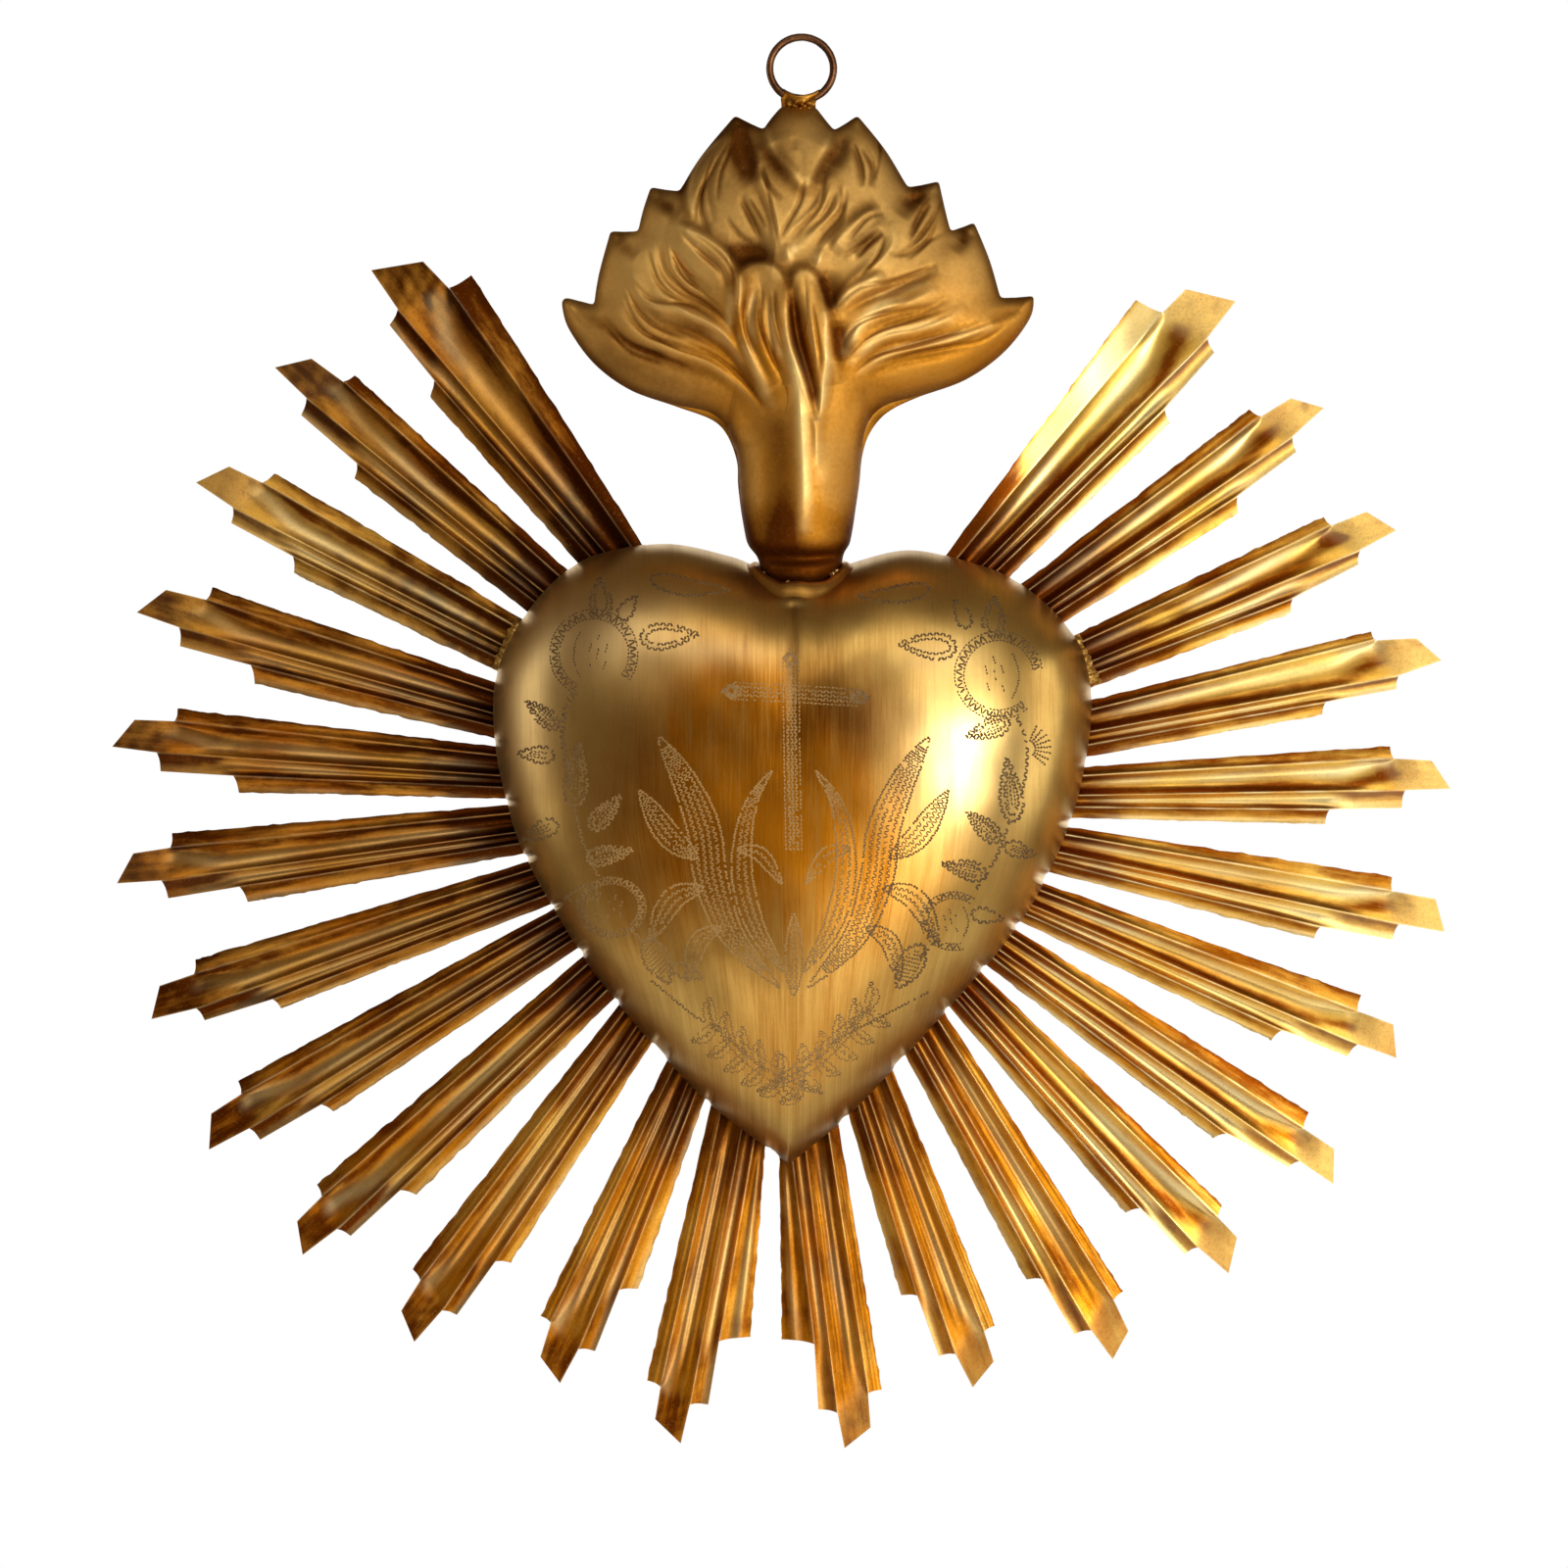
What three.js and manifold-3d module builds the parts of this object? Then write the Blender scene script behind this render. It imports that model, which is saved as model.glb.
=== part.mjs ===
// Brass sacred heart ex-voto: a hollow heart with a flame, a hanging ring and 24 fluted rays.
// Millimetres, +Z up, the front faces -Y. The origin is where the ring hangs, inside its top.
import * as THREE from 'three';
import { mergeVertices } from 'three/addons/utils/BufferGeometryUtils.js';
import Module from 'manifold-3d';

const wasm = await Module();
wasm.setup();

// ---- driving dimensions ----
const UNIT = 0.24; // mm per unit of the outline grid, at the flame's middle plane
const VIEW = 1600; // the outlines are drawn as seen from this far in front
const HANG = [819, 42]; // the hanging point on the grid
const AXIS = [800, 800]; // the grid point straight ahead of the viewer
const GAP = 0.35; // between pieces that meet

const RIM_Y = 9.4; // where the heart's dome starts
const SKIRT_Y = 12.25; // the rim's turned-back edge
const DOME_H = 34; // the heart's front above RIM_Y
const DOME_A = 3.2; // shape of the dome's side
const DOME_B = 0.48;
const SHELL = 1.1; // heart sheet
const PLATE_Y0 = 12.6; // back plate
const PLATE_Y1 = 13.4;
const PLATE_INSET = 2.0;

const RAY_FRONT = 9.85; // the flutes' edges
const RAY_DEPTH = 1.6; // flute depth
const RAY_SHEET = 0.7;
const RAY_TUCK = 9; // how far a ray runs under the rim

const FLAME_H = 14; // front relief
const FLAME_BACK_H = 8;
const FLAME_SHEET = 1.1;
const STEM_BACK = 0.78; // the stem's back is flatter than its front
const SEAM = 0.18; // half the gap between the flame's halves

const RING_R = 7.74;
const WIRE_R = 0.92;

// ---- the outline grid ----
const scaleAt = (y) => 1 + y / VIEW;
const gx = (u, y = 0) => (AXIS[0] - HANG[0]) * UNIT + (u - AXIS[0]) * UNIT * scaleAt(y);
const gz = (v, y = 0) => (HANG[1] - AXIS[1]) * UNIT - (v - AXIS[1]) * UNIT * scaleAt(y);
const at = ([u, v], y = 0) => new THREE.Vector2(gx(u, y), gz(v, y));

// ---- solids ----
function clean(geometry) {
  const g = geometry.clone();
  for (const name of Object.keys(g.attributes)) if (name !== 'position') g.deleteAttribute(name);
  const merged = mergeVertices(g, 1e-4);
  const index = merged.index.array;
  const kept = [];
  for (let i = 0; i < index.length; i += 3) {
    const [a, b, c] = [index[i], index[i + 1], index[i + 2]];
    if (a !== b && b !== c && c !== a) kept.push(a, b, c);
  }
  const p = merged.attributes.position.array;
  let volume = 0;
  for (let i = 0; i < kept.length; i += 3) {
    const [a, b, c] = [kept[i] * 3, kept[i + 1] * 3, kept[i + 2] * 3];
    volume += p[a] * (p[b + 1] * p[c + 2] - p[b + 2] * p[c + 1]) - p[a + 1] * (p[b] * p[c + 2] - p[b + 2] * p[c]) + p[a + 2] * (p[b] * p[c + 1] - p[b + 1] * p[c]);
  }
  if (volume < 0) for (let i = 0; i < kept.length; i += 3) [kept[i + 1], kept[i + 2]] = [kept[i + 2], kept[i + 1]];
  merged.setIndex(kept);
  return merged;
}

function solid(geometry) {
  const g = clean(geometry);
  return new wasm.Manifold(new wasm.Mesh({ numProp: 3, vertProperties: new Float32Array(g.attributes.position.array), triVerts: new Uint32Array(g.index.array) }));
}

function geometryOf(body) {
  const mesh = body.getMesh();
  const g = new THREE.BufferGeometry();
  const count = mesh.vertProperties.length / mesh.numProp;
  const p = new Float32Array(count * 3);
  for (let i = 0; i < count; i++) for (let k = 0; k < 3; k++) p[i * 3 + k] = mesh.vertProperties[i * mesh.numProp + k];
  g.setAttribute('position', new THREE.BufferAttribute(p, 3));
  g.setIndex(Array.from(mesh.triVerts));
  g.computeVertexNormals();
  return g;
}

// An outline in X and Z, extruded along Y.
function prism(points, y0, y1) {
  const shape = new THREE.Shape(points);
  const g = new THREE.ExtrudeGeometry(shape, { depth: y1 - y0, bevelEnabled: false, steps: 1 });
  g.rotateX(Math.PI / 2); // the shape's Y becomes Z, and its depth becomes -Y
  g.translate(0, y1, 0);
  return g;
}

// A turned profile whose circle is replaced by an outline. Each profile entry is [t, fn]: t is the share of the way from the centre to the outline, and fn(x, z, t) gives the depth.
function turned(outline, centre, profile) {
  const n = outline.length;
  const g = new THREE.LatheGeometry(profile.map((_, i) => new THREE.Vector2(1, i)), n);
  const p = g.attributes.position;
  for (let i = 0; i <= n; i++) {
    const o = outline[i % n];
    profile.forEach(([t, depth, shrink = 0], j) => {
      const r = o.distanceTo(centre);
      const k = (t * (r - shrink)) / r;
      const x = centre.x + (o.x - centre.x) * k;
      const z = centre.y + (o.y - centre.y) * k;
      p.setXYZ(i * profile.length + j, x, depth(x, z, t), z);
    });
  }
  return g;
}

// ---- heart outline: two curves that meet in the cleft and at the tip ----
const HEART_LEFT = [[816, 594], [797, 589], [770, 577], [744, 567], [683, 554.6], [621.6, 562.6], [579, 581.5], [537, 626], [508, 683], [504, 744], [515, 810], [537, 876], [588.5, 966], [626, 1018], [678, 1079], [725, 1127], [773, 1164], [805, 1188]];
const HEART_RIGHT = [[805, 1188], [858, 1145], [905, 1098], [990, 1004], [1037, 947], [1070, 891], [1098, 820], [1112.4, 744], [1111.5, 692], [1093.5, 645], [1042, 596], [990, 574], [928, 561], [869, 574], [838, 588], [816, 594]];
function heartOutline(y, perSide) {
  const side = (list) => new THREE.SplineCurve(list.map((q) => at(q, y))).getSpacedPoints(perSide).slice(0, -1);
  return [...side(HEART_LEFT), ...side(HEART_RIGHT)];
}
const heartCentre = at([808, 800], RIM_Y);
const rim = heartOutline(RIM_Y, 34);

const dome = (h) => (x, z, t) => RIM_Y - h * Math.pow(Math.max(0, 1 - Math.pow(t, DOME_A)), DOME_B);
const flat = (y) => () => y;
const OUTER_T = [0, 0.3, 0.52, 0.7, 0.83, 0.92, 0.97, 0.993, 1];
const INNER_T = [1, 0.975, 0.9, 0.75, 0.5, 0.25, 0];

// A full dome, grown by a small distance, for cutting around it.
function domeSolid(grow, back) {
  return solid(turned(rim, heartCentre, [...OUTER_T.map((t) => [t, dome(DOME_H + grow), -grow]), [1, flat(back), -grow], [0, flat(back), 0]]));
}

// ---- flame ----
const FLAME = [
  [573, 310], [578, 304], [606, 312], [611, 280], [623, 236], [651, 237], [656, 215], [664, 191], [693, 196], [715, 160], [750, 118], [779, 133], [786, 122], [797, 109],
  [815, 108.5], [832, 109], [842, 122], [851, 134], [875, 118], [904, 154], [926.5, 192], [958, 185], [964, 212], [970, 237], [994, 227], [1010, 266], [1021, 305], [1055, 302],
  [1051, 325], [1024, 360], [984.5, 388], [935, 406], [905, 421], [888, 441], [880, 464], [877, 492], [873, 520], [868.6, 549], [861, 567], [858, 590], [857, 640],
  [838, 648], [816, 650], [794, 648],
  [776, 640], [776, 592], [774, 570], [761, 549], [756, 520], [753, 494], [752, 471], [742, 444], [726, 428], [689, 414.5], [643, 398], [606, 371], [580, 335],
].map((q) => at(q));
const flameCentre = at([815, 400]);
// The stem is round: its middle line and half width down its length.
const STEM = [[400, 816, 66], [441, 815, 72], [464, 816, 64], [520, 814.5, 58.3], [549, 814.8, 53.6], [568, 817.5, 43.5], [590, 817, 41], [650, 816.5, 40.5]];
function stemAt(z) {
  const v = HANG[1] - z / UNIT;
  let i = 1;
  while (i < STEM.length - 1 && STEM[i][0] < v) i++;
  const [a, b] = [STEM[i - 1], STEM[i]];
  const k = Math.min(1, Math.max(0, (v - a[0]) / (b[0] - a[0])));
  return { v, x: gx(a[1] + (b[1] - a[1]) * k), r: (a[2] + (b[2] - a[2]) * k) * UNIT };
}
function flameDepth(x, z, t, h, share, less) {
  if (t >= 1) return 0;
  const s = stemAt(z);
  const body = (h - less) * Math.pow(1 - Math.pow(t, 2.2), 0.55);
  const fade = Math.min(1, Math.max(0, (s.v - 400) / 70));
  const r = s.r - less;
  const stem = r > Math.abs(x - s.x) ? Math.sqrt(r * r - (x - s.x) ** 2) * share * fade : 0;
  const low = Math.min(1, Math.max(0, (470 - s.v) / 60)); // below the wings only the stem stands out
  return Math.max(body * low, stem, 0.02);
}
function flameHalf(side, h, share) {
  const outer = (x, z, t) => side * (SEAM + flameDepth(x, z, t, h, share, 0));
  const inner = (x, z, t) => side * (SEAM + flameDepth(x, z, t, h, share, FLAME_SHEET));
  const profile = [0, 0.25, 0.5, 0.7, 0.85, 0.95, 1].map((t) => [t, outer, 0]);
  profile.push(...[1, 0.94, 0.82, 0.62, 0.36, 0].map((t) => [t, t >= 1 ? flat(side * SEAM) : inner, 1.25]));
  return turned(FLAME, flameCentre, profile);
}
// A round body around the stem, grown by a small distance, for cutting clearance around it.
function stemSolid(grow, v0, v1) {
  const rows = [v0, ...STEM.map((q) => q[0]).filter((v) => v > v0 && v < v1), v1];
  const points = [new THREE.Vector2(0, 0)];
  for (const v of rows) points.push(new THREE.Vector2(stemAt(gz(v)).r + grow, gz(v)));
  points[0] = new THREE.Vector2(0, gz(v0));
  points.push(new THREE.Vector2(0, gz(v1)));
  const g = new THREE.LatheGeometry(points, 40);
  g.rotateX(Math.PI / 2); // the profile's axis becomes Z
  g.translate(gx(816.5), 0, 0);
  return solid(g);
}

// ---- rays: outer edge A base, shoulder, notch, tip corner, tip point, then the steps back down edge B ----
const RAYS = {
  left: [
    [[655, 554.5], [481.7, 280.9], [459.9, 296.2], [432.3, 267.6], [379.5, 276.7], [407.8, 318.1], [397.9, 332.3], [445, 390.4], [438.5, 404.8], [590.7, 575.2]],
    [[580, 583], [362.2, 383.1], [352.1, 390.9], [318.1, 366.2], [280.6, 375.1], [314.5, 407.9], [307.2, 423.6], [366.1, 474.5], [361.8, 487.8], [537.5, 623.5]],
    [[531.4, 630.8], [280.6, 483], [270.2, 493.9], [234.5, 476.4], [200.6, 492.7], [240.1, 519.3], [236.2, 533.9], [301.2, 569], [300, 584.8], [506, 684.1]],
    [[505.5, 696.2], [217.1, 599.8], [213.2, 612.7], [170.3, 602.2], [140.3, 625.2], [185.6, 641.1], [184.1, 659.5], [258.5, 679.4], [260, 697.8], [502.5, 752.9]],
    [[502.5, 761.4], [181.6, 723.2], [181, 736], [138.2, 734.5], [115.2, 762], [162.7, 768.2], [164.2, 787.1], [240.7, 791.7], [243.8, 808.6], [514.7, 814.7]],
    [[516.2, 821.7], [175.8, 850.2], [176.4, 864.6], [136.6, 870.7], [119.8, 901.3], [167.2, 898.3], [171.8, 916.6], [246.8, 904.4], [253, 920.6], [536.1, 870.7]],
    [[537.6, 879.9], [199, 979], [200, 993.2], [162.7, 1006], [154.4, 1040], [202.3, 1028.4], [208.7, 1041.2], [280.4, 1018.9], [286.8, 1029.1], [560, 923.5]],
    [[561, 929.6], [243.1, 1103.4], [247.9, 1115.2], [215.7, 1136.2], [213.5, 1172.9], [256.5, 1150.2], [265.5, 1163], [329.9, 1125.7], [340.4, 1134.3], [586.6, 969.4]],
    [[591.4, 979], [323.5, 1208.6], [329.9, 1219.1], [303.4, 1245.9], [309.1, 1280.3], [345.8, 1252.6], [357.9, 1261.2], [410.2, 1212.7], [424.9, 1219.1], [623.2, 1022]],
    [[626.4, 1031.6], [420.8, 1294.7], [430.3, 1304.2], [409.6, 1337.1], [423, 1369], [452.6, 1335.2], [466.4, 1341.6], [506.9, 1285.1], [521.2, 1288.3], [661.5, 1069.9]],
    [[679, 1085.8], [551.5, 1342.5], [562.7, 1347.3], [551.5, 1384], [571.6, 1411.1], [591.4, 1374.4], [607.3, 1378.6], [632.8, 1313.8], [651.3, 1315.4], [718.5, 1123.1]],
    [[725.6, 1127.3], [660.2, 1408], [674.5, 1412.2], [668.6, 1447.2], [694.7, 1472], [704.5, 1430.4], [722.8, 1432.7], [734, 1365.9], [765.7, 1363.9], [780.3, 1177.9]],
  ],
  right: [
    [[968.7, 561.9], [1158.4, 306.5], [1184.4, 321.2], [1209.4, 295.6], [1260.3, 308.2], [1230, 347.2], [1238.6, 360.2], [1186.6, 418.8], [1193.1, 431.8], [1031.6, 586.8]],
    [[1042.6, 595.5], [1274.7, 417.9], [1284.5, 426.3], [1316.8, 406.7], [1350.4, 416.5], [1316.8, 447.3], [1322.4, 461.4], [1260.6, 507.7], [1263.4, 523.1], [1085, 636]],
    [[1093.7, 649.4], [1350.4, 527.3], [1356, 537.1], [1393.9, 522.5], [1424, 541.4], [1385.5, 562.4], [1385.5, 576.4], [1316.8, 611.5], [1316.8, 625.5], [1117.5, 699.9]],
    [[1113.3, 714.5], [1399, 644.3], [1400.9, 653.6], [1444.4, 651.4], [1470.3, 674.1], [1424.8, 690.1], [1424.8, 703.3], [1350.4, 716.7], [1349, 729.4], [1113.3, 771.5]],
    [[1111.9, 782.4], [1417.8, 761.4], [1419.2, 774], [1459.9, 776], [1479, 804.9], [1431, 806.3], [1429.9, 824.5], [1354.1, 825.9], [1351.8, 840.8], [1093.7, 834.4]],
    [[1092.3, 844.2], [1420.6, 894.1], [1417.8, 908.7], [1464.1, 917.1], [1473.3, 950.8], [1424.8, 942.4], [1420.6, 958.7], [1344.8, 945.2], [1340.6, 957.8], [1068.4, 889.1]],
    [[1063, 901], [1387.8, 1015.9], [1382.7, 1030.8], [1420.6, 1044.8], [1424, 1079.3], [1382.7, 1064.5], [1374.3, 1077.7], [1305.5, 1050.4], [1297.1, 1061.1], [1039, 939]],
    [[1036, 948], [1335.3, 1134.9], [1328, 1150.1], [1360.8, 1172.2], [1360.1, 1207.9], [1324.1, 1183.4], [1314.5, 1190.7], [1249.2, 1155.3], [1238, 1161], [1009, 987]],
    [[1003, 994], [1246.9, 1229.6], [1241.2, 1240.8], [1261.9, 1262.1], [1253.3, 1299.1], [1220.5, 1271], [1208.7, 1279.7], [1161.5, 1231.2], [1148.1, 1237.6], [971.7, 1030.3]],
    [[967, 1038.3], [1145.5, 1317.9], [1135.3, 1324.6], [1151.3, 1357.8], [1135.3, 1386.8], [1112.1, 1355.5], [1096.1, 1361.3], [1062, 1302.9], [1047.3, 1306.1], [927.1, 1082.9]],
    [[912.8, 1095.7], [1015.4, 1352.4], [1003.6, 1356.5], [1013.8, 1389], [992.5, 1415.5], [974, 1379.5], [958, 1383.6], [935.1, 1319.8], [919.1, 1322.1], [865.9, 1137.2]],
    [[856, 1149.8], [899.5, 1417.8], [885.5, 1419.2], [888.3, 1455.7], [861.7, 1476.7], [854.1, 1438.8], [835, 1437.4], [830.8, 1368.7], [798, 1365.9], [795.2, 1190.5]],
  ],
};
// Across a ray: a flange, a wide flute, a narrow flute and a flange, with sharp edges between.
const EDGE = [0, 0.17, 0.56, 0.785, 1];
const ACROSS = [[0, 0.55], [0.085, 0.62], [0.17, 1], [0.26, 0.32], [0.365, 0], [0.47, 0.32], [0.56, 1], [0.63, 0.42], [0.715, 0.42], [0.785, 1], [0.89, 0.45], [1, 0.35]];

const lerp = (a, b, k) => a.clone().lerp(b, k);
function rayLines(points) {
  const q = points.map((p) => at(p, 11));
  const base = (s) => lerp(q[0], q[9], s);
  const ends = [q[1], q[2], q[5], q[7], q[8]];
  const lines = EDGE.map((s, i) => {
    const from = base(s);
    const dir = ends[i].clone().sub(from).normalize();
    return { from, dir };
  });
  const length = q[4].distanceTo(base(0.4)) + 4;
  return { q, lines, length };
}
function rayBody(points) {
  const { q, lines, length } = rayLines(points);
  const n = ACROSS.length - 1;
  const g = new THREE.BoxGeometry(1, 1, 1, n, 1, 1);
  const p = g.attributes.position;
  const point = (s, l) => {
    let i = 1;
    while (i < EDGE.length - 1 && EDGE[i] < s - 1e-9) i++;
    const k = (s - EDGE[i - 1]) / (EDGE[i] - EDGE[i - 1]);
    const a = lines[i - 1].from.clone().addScaledVector(lines[i - 1].dir, l);
    const b = lines[i].from.clone().addScaledVector(lines[i].dir, l);
    return a.lerp(b, k);
  };
  for (let i = 0; i < p.count; i++) {
    const [s, d] = ACROSS[Math.round((p.getX(i) + 0.5) * n)];
    const outer = p.getZ(i) > 0;
    const c = point(s, outer ? length : -RAY_TUCK - 3);
    const depth = RAY_DEPTH * (outer ? 0.55 : 1);
    const y = RAY_FRONT + RAY_DEPTH / 2 - (d - 0.5) * depth + (p.getY(i) > 0 ? 0 : RAY_SHEET);
    p.setXYZ(i, c.x, y, c.y);
  }
  const inner = (i) => lines[i].from.clone().addScaledVector(lines[i].dir, -RAY_TUCK);
  const outline = [inner(0), ...q.slice(1, 9), inner(4)];
  return { body: solid(g).intersect(solid(prism(outline, 5, 16))), outline, lines };
}
// The space a ray's root needs in the rim.
function rayRoom({ lines }) {
  const reach = (i, l, side) => {
    const across = lines[4].from.clone().sub(lines[0].from).normalize();
    return lines[i].from.clone().addScaledVector(lines[i].dir, l).addScaledVector(across, side * GAP);
  };
  return solid(prism([reach(0, -RAY_TUCK - 1, -1), reach(0, 14, -1), reach(4, 14, 1), reach(4, -RAY_TUCK - 1, 1)], RIM_Y + 0.1, SKIRT_Y + 1));
}

// ---- materials ----
const brass = (hex, roughness = 0.38) => new THREE.MeshStandardMaterial({ color: hex, roughness, metalness: 1 });
const group = new THREE.Group();
function put(name, body, material) {
  const mesh = new THREE.Mesh(geometryOf(body), material);
  mesh.name = name;
  group.add(mesh);
}

// ---- rays ----
const rays = [];
for (const side of ['left', 'right']) {
  RAYS[side].forEach((points, i) => {
    const ray = rayBody(points);
    rays.push(ray);
    put(`ray_${side}_${String(i + 1).padStart(2, '0')}`, ray.body, brass(side === 'left' ? 0x8f6526 : 0xc8973f));
  });
}

// ---- heart ----
let front = solid(turned(rim, heartCentre, [
  ...OUTER_T.map((t) => [t, dome(DOME_H), 0]),
  [1, flat(SKIRT_Y), 0],
  [1, flat(SKIRT_Y), SHELL * 1.15],
  ...INNER_T.map((t) => [t, dome(DOME_H - SHELL), SHELL * 1.15]),
]));
for (const ray of rays) front = front.subtract(rayRoom(ray));
front = front.subtract(stemSolid(GAP + 0.1, 540, 664));
put('heart_front_shell', front, brass(0xb08a45));

const plateOutline = heartOutline(PLATE_Y0, 34).map((p) => {
  const c = at([808, 800], PLATE_Y0);
  const d = p.clone().sub(c);
  return c.add(d.multiplyScalar(1 - PLATE_INSET / d.length()));
});
put('heart_back_plate', solid(prism(plateOutline, PLATE_Y0, PLATE_Y1)), brass(0x9a7434));

// ---- flame ----
put('flame_front_shell', solid(flameHalf(-1, FLAME_H, 1)), brass(0xa98a4b, 0.42));
put('flame_back_shell', solid(flameHalf(1, FLAME_BACK_H, STEM_BACK)), brass(0x98783f, 0.42));

// ---- collar: a lip that follows the heart's cleft around the flame's neck ----
const lipRound = new THREE.LatheGeometry([[0, 552], [13.4, 552], [13.4, 640], [0, 640]].map(([r, v]) => new THREE.Vector2(r, gz(v))), 40);
lipRound.rotateX(Math.PI / 2);
lipRound.translate(gx(816.5), 0, 0);
const lip = solid(lipRound).intersect(domeSolid(2.6, 10.6)).subtract(domeSolid(GAP, 14)).subtract(stemSolid(GAP + 0.55, 530, 664));
put('neck_collar', lip, brass(0xb98a3c));

// ---- ring and its solder ----
const ringCentre = new THREE.Vector3(gx(818), 0, gz(70));
const torus = (r) => {
  const g = new THREE.TorusGeometry(RING_R, r, 10, 40);
  g.rotateX(Math.PI / 2);
  g.translate(ringCentre.x, ringCentre.y, ringCentre.z);
  return solid(g);
};
put('hanging_ring', torus(WIRE_R), brass(0x6b4420, 0.35));
const bead = new THREE.LatheGeometry([[0, 90.5], [2.0, 91.5], [3.1, 95], [3.7, 100], [4.1, 107], [0, 107]].map(([r, v]) => new THREE.Vector2(r, gz(v))), 20);
bead.rotateX(Math.PI / 2);
bead.scale(1, 0.62, 1);
bead.translate(gx(815), 0, 0);
put('ring_solder', solid(bead).subtract(torus(WIRE_R + 0.22)), brass(0x7d5a2c, 0.45));

// ---- solder that shows along the heart's edge at the third rays ----
function fillet(ray, width) {
  const [a, b] = [ray.lines[0], ray.lines[4]];
  const along = (line, l) => line.from.clone().addScaledVector(line.dir, l);
  const g = prism([along(a, -1.2), along(a, width), along(b, width), along(b, -1.2)], 7.2, RAY_FRONT - 0.3);
  return solid(g).subtract(domeSolid(0.3, 14));
}
put('solder_fillet_left', fillet(rays[2], 1.6), brass(0xa07838, 0.5));
put('solder_fillet_right', fillet(rays[14], 2.0), brass(0xd0ac5c, 0.5));

export default group;
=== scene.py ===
"""Brass heart ex-voto with a flame, a hanging ring and 24 fluted rays. Lengths in the helpers are millimetres."""

import math

import bpy
import numpy as np
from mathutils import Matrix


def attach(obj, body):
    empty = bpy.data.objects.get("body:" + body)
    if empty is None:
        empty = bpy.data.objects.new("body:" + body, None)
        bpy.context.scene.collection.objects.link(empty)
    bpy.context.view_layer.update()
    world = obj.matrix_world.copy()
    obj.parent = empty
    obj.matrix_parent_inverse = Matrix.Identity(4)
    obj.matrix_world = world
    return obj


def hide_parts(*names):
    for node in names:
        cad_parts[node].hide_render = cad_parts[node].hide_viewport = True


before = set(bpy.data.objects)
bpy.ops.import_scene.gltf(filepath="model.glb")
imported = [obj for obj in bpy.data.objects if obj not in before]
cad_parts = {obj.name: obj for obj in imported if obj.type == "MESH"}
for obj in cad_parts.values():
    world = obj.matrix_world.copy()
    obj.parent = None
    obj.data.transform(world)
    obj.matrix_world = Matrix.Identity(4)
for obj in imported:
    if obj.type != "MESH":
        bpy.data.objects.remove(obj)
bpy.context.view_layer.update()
rng = np.random.default_rng(20417)

# ---------------------------------------------------------------- the outline grid
UNIT, VIEW = 0.24, 1600.0
RIM_Y, SKIRT_Y = 9.4, 12.25
DOME_H, DOME_A, DOME_B = 34.0, 3.2, 0.48


def gx(u, y=0.0):
    return -19 * UNIT + (np.asarray(u, float) - 800) * UNIT * (1 + np.asarray(y, float) / VIEW)


def gz(v, y=0.0):
    return -758 * UNIT - (np.asarray(v, float) - 800) * UNIT * (1 + np.asarray(y, float) / VIEW)


def to_u(x, y=0.0):
    return 800 + (x + 19 * UNIT) / (UNIT * (1 + y / VIEW))


def to_v(z, y=0.0):
    return 800 - (z + 758 * UNIT) / (UNIT * (1 + y / VIEW))


def smooth(a, b, x):
    k = np.clip((np.asarray(x, float) - a) / (b - a), 0, 1)
    return k * k * (3 - 2 * k)


class Wobble:
    """Smooth, repeatable noise: a sum of sines in random directions, about -1 to 1."""

    def __init__(self, seed, waves=7):
        r = np.random.default_rng(seed)
        d = r.normal(size=(waves, 3))
        self.d = d / np.linalg.norm(d, axis=1)[:, None] * r.uniform(0.6, 1.7, (waves, 1))
        self.p = r.uniform(0, 2 * np.pi, waves)
        self.n = waves

    def __call__(self, x, y, z, size):
        q = np.stack(np.broadcast_arrays(x, y, z), -1) * (2 * np.pi / size)
        return np.sin(q @ self.d.T + self.p).sum(-1) / math.sqrt(self.n) * 0.8


def catmull(points, per, closed=False):
    """Uniform Catmull-Rom through the points."""
    p = np.asarray(points, float)
    n = len(p)
    out = []
    for i in range(n if closed else n - 1):
        if closed:
            a, b, c, d = p[(i - 1) % n], p[i], p[(i + 1) % n], p[(i + 2) % n]
        else:
            a, b, c, d = p[max(i - 1, 0)], p[i], p[i + 1], p[min(i + 2, n - 1)]
        t = np.linspace(0, 1, per, endpoint=False)[:, None]
        v0, v1 = (c - a) * 0.5, (d - b) * 0.5
        out.append((2 * b - 2 * c + v0 + v1) * t**3 + (-3 * b + 3 * c - 2 * v0 - v1) * t**2 + v0 * t + b)
    if not closed:
        out.append(p[-1:])
    return np.concatenate(out)


def resample(line, n=None, step=None):
    line = np.asarray(line, float)
    s = np.concatenate([[0], np.cumsum(np.linalg.norm(np.diff(line, axis=0), axis=1))])
    if n is None:
        n = max(2, int(round(s[-1] / step)) + 1)
    k = np.linspace(0, s[-1], n)
    return np.stack([np.interp(k, s, line[:, j]) for j in range(line.shape[1])], -1)


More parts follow.
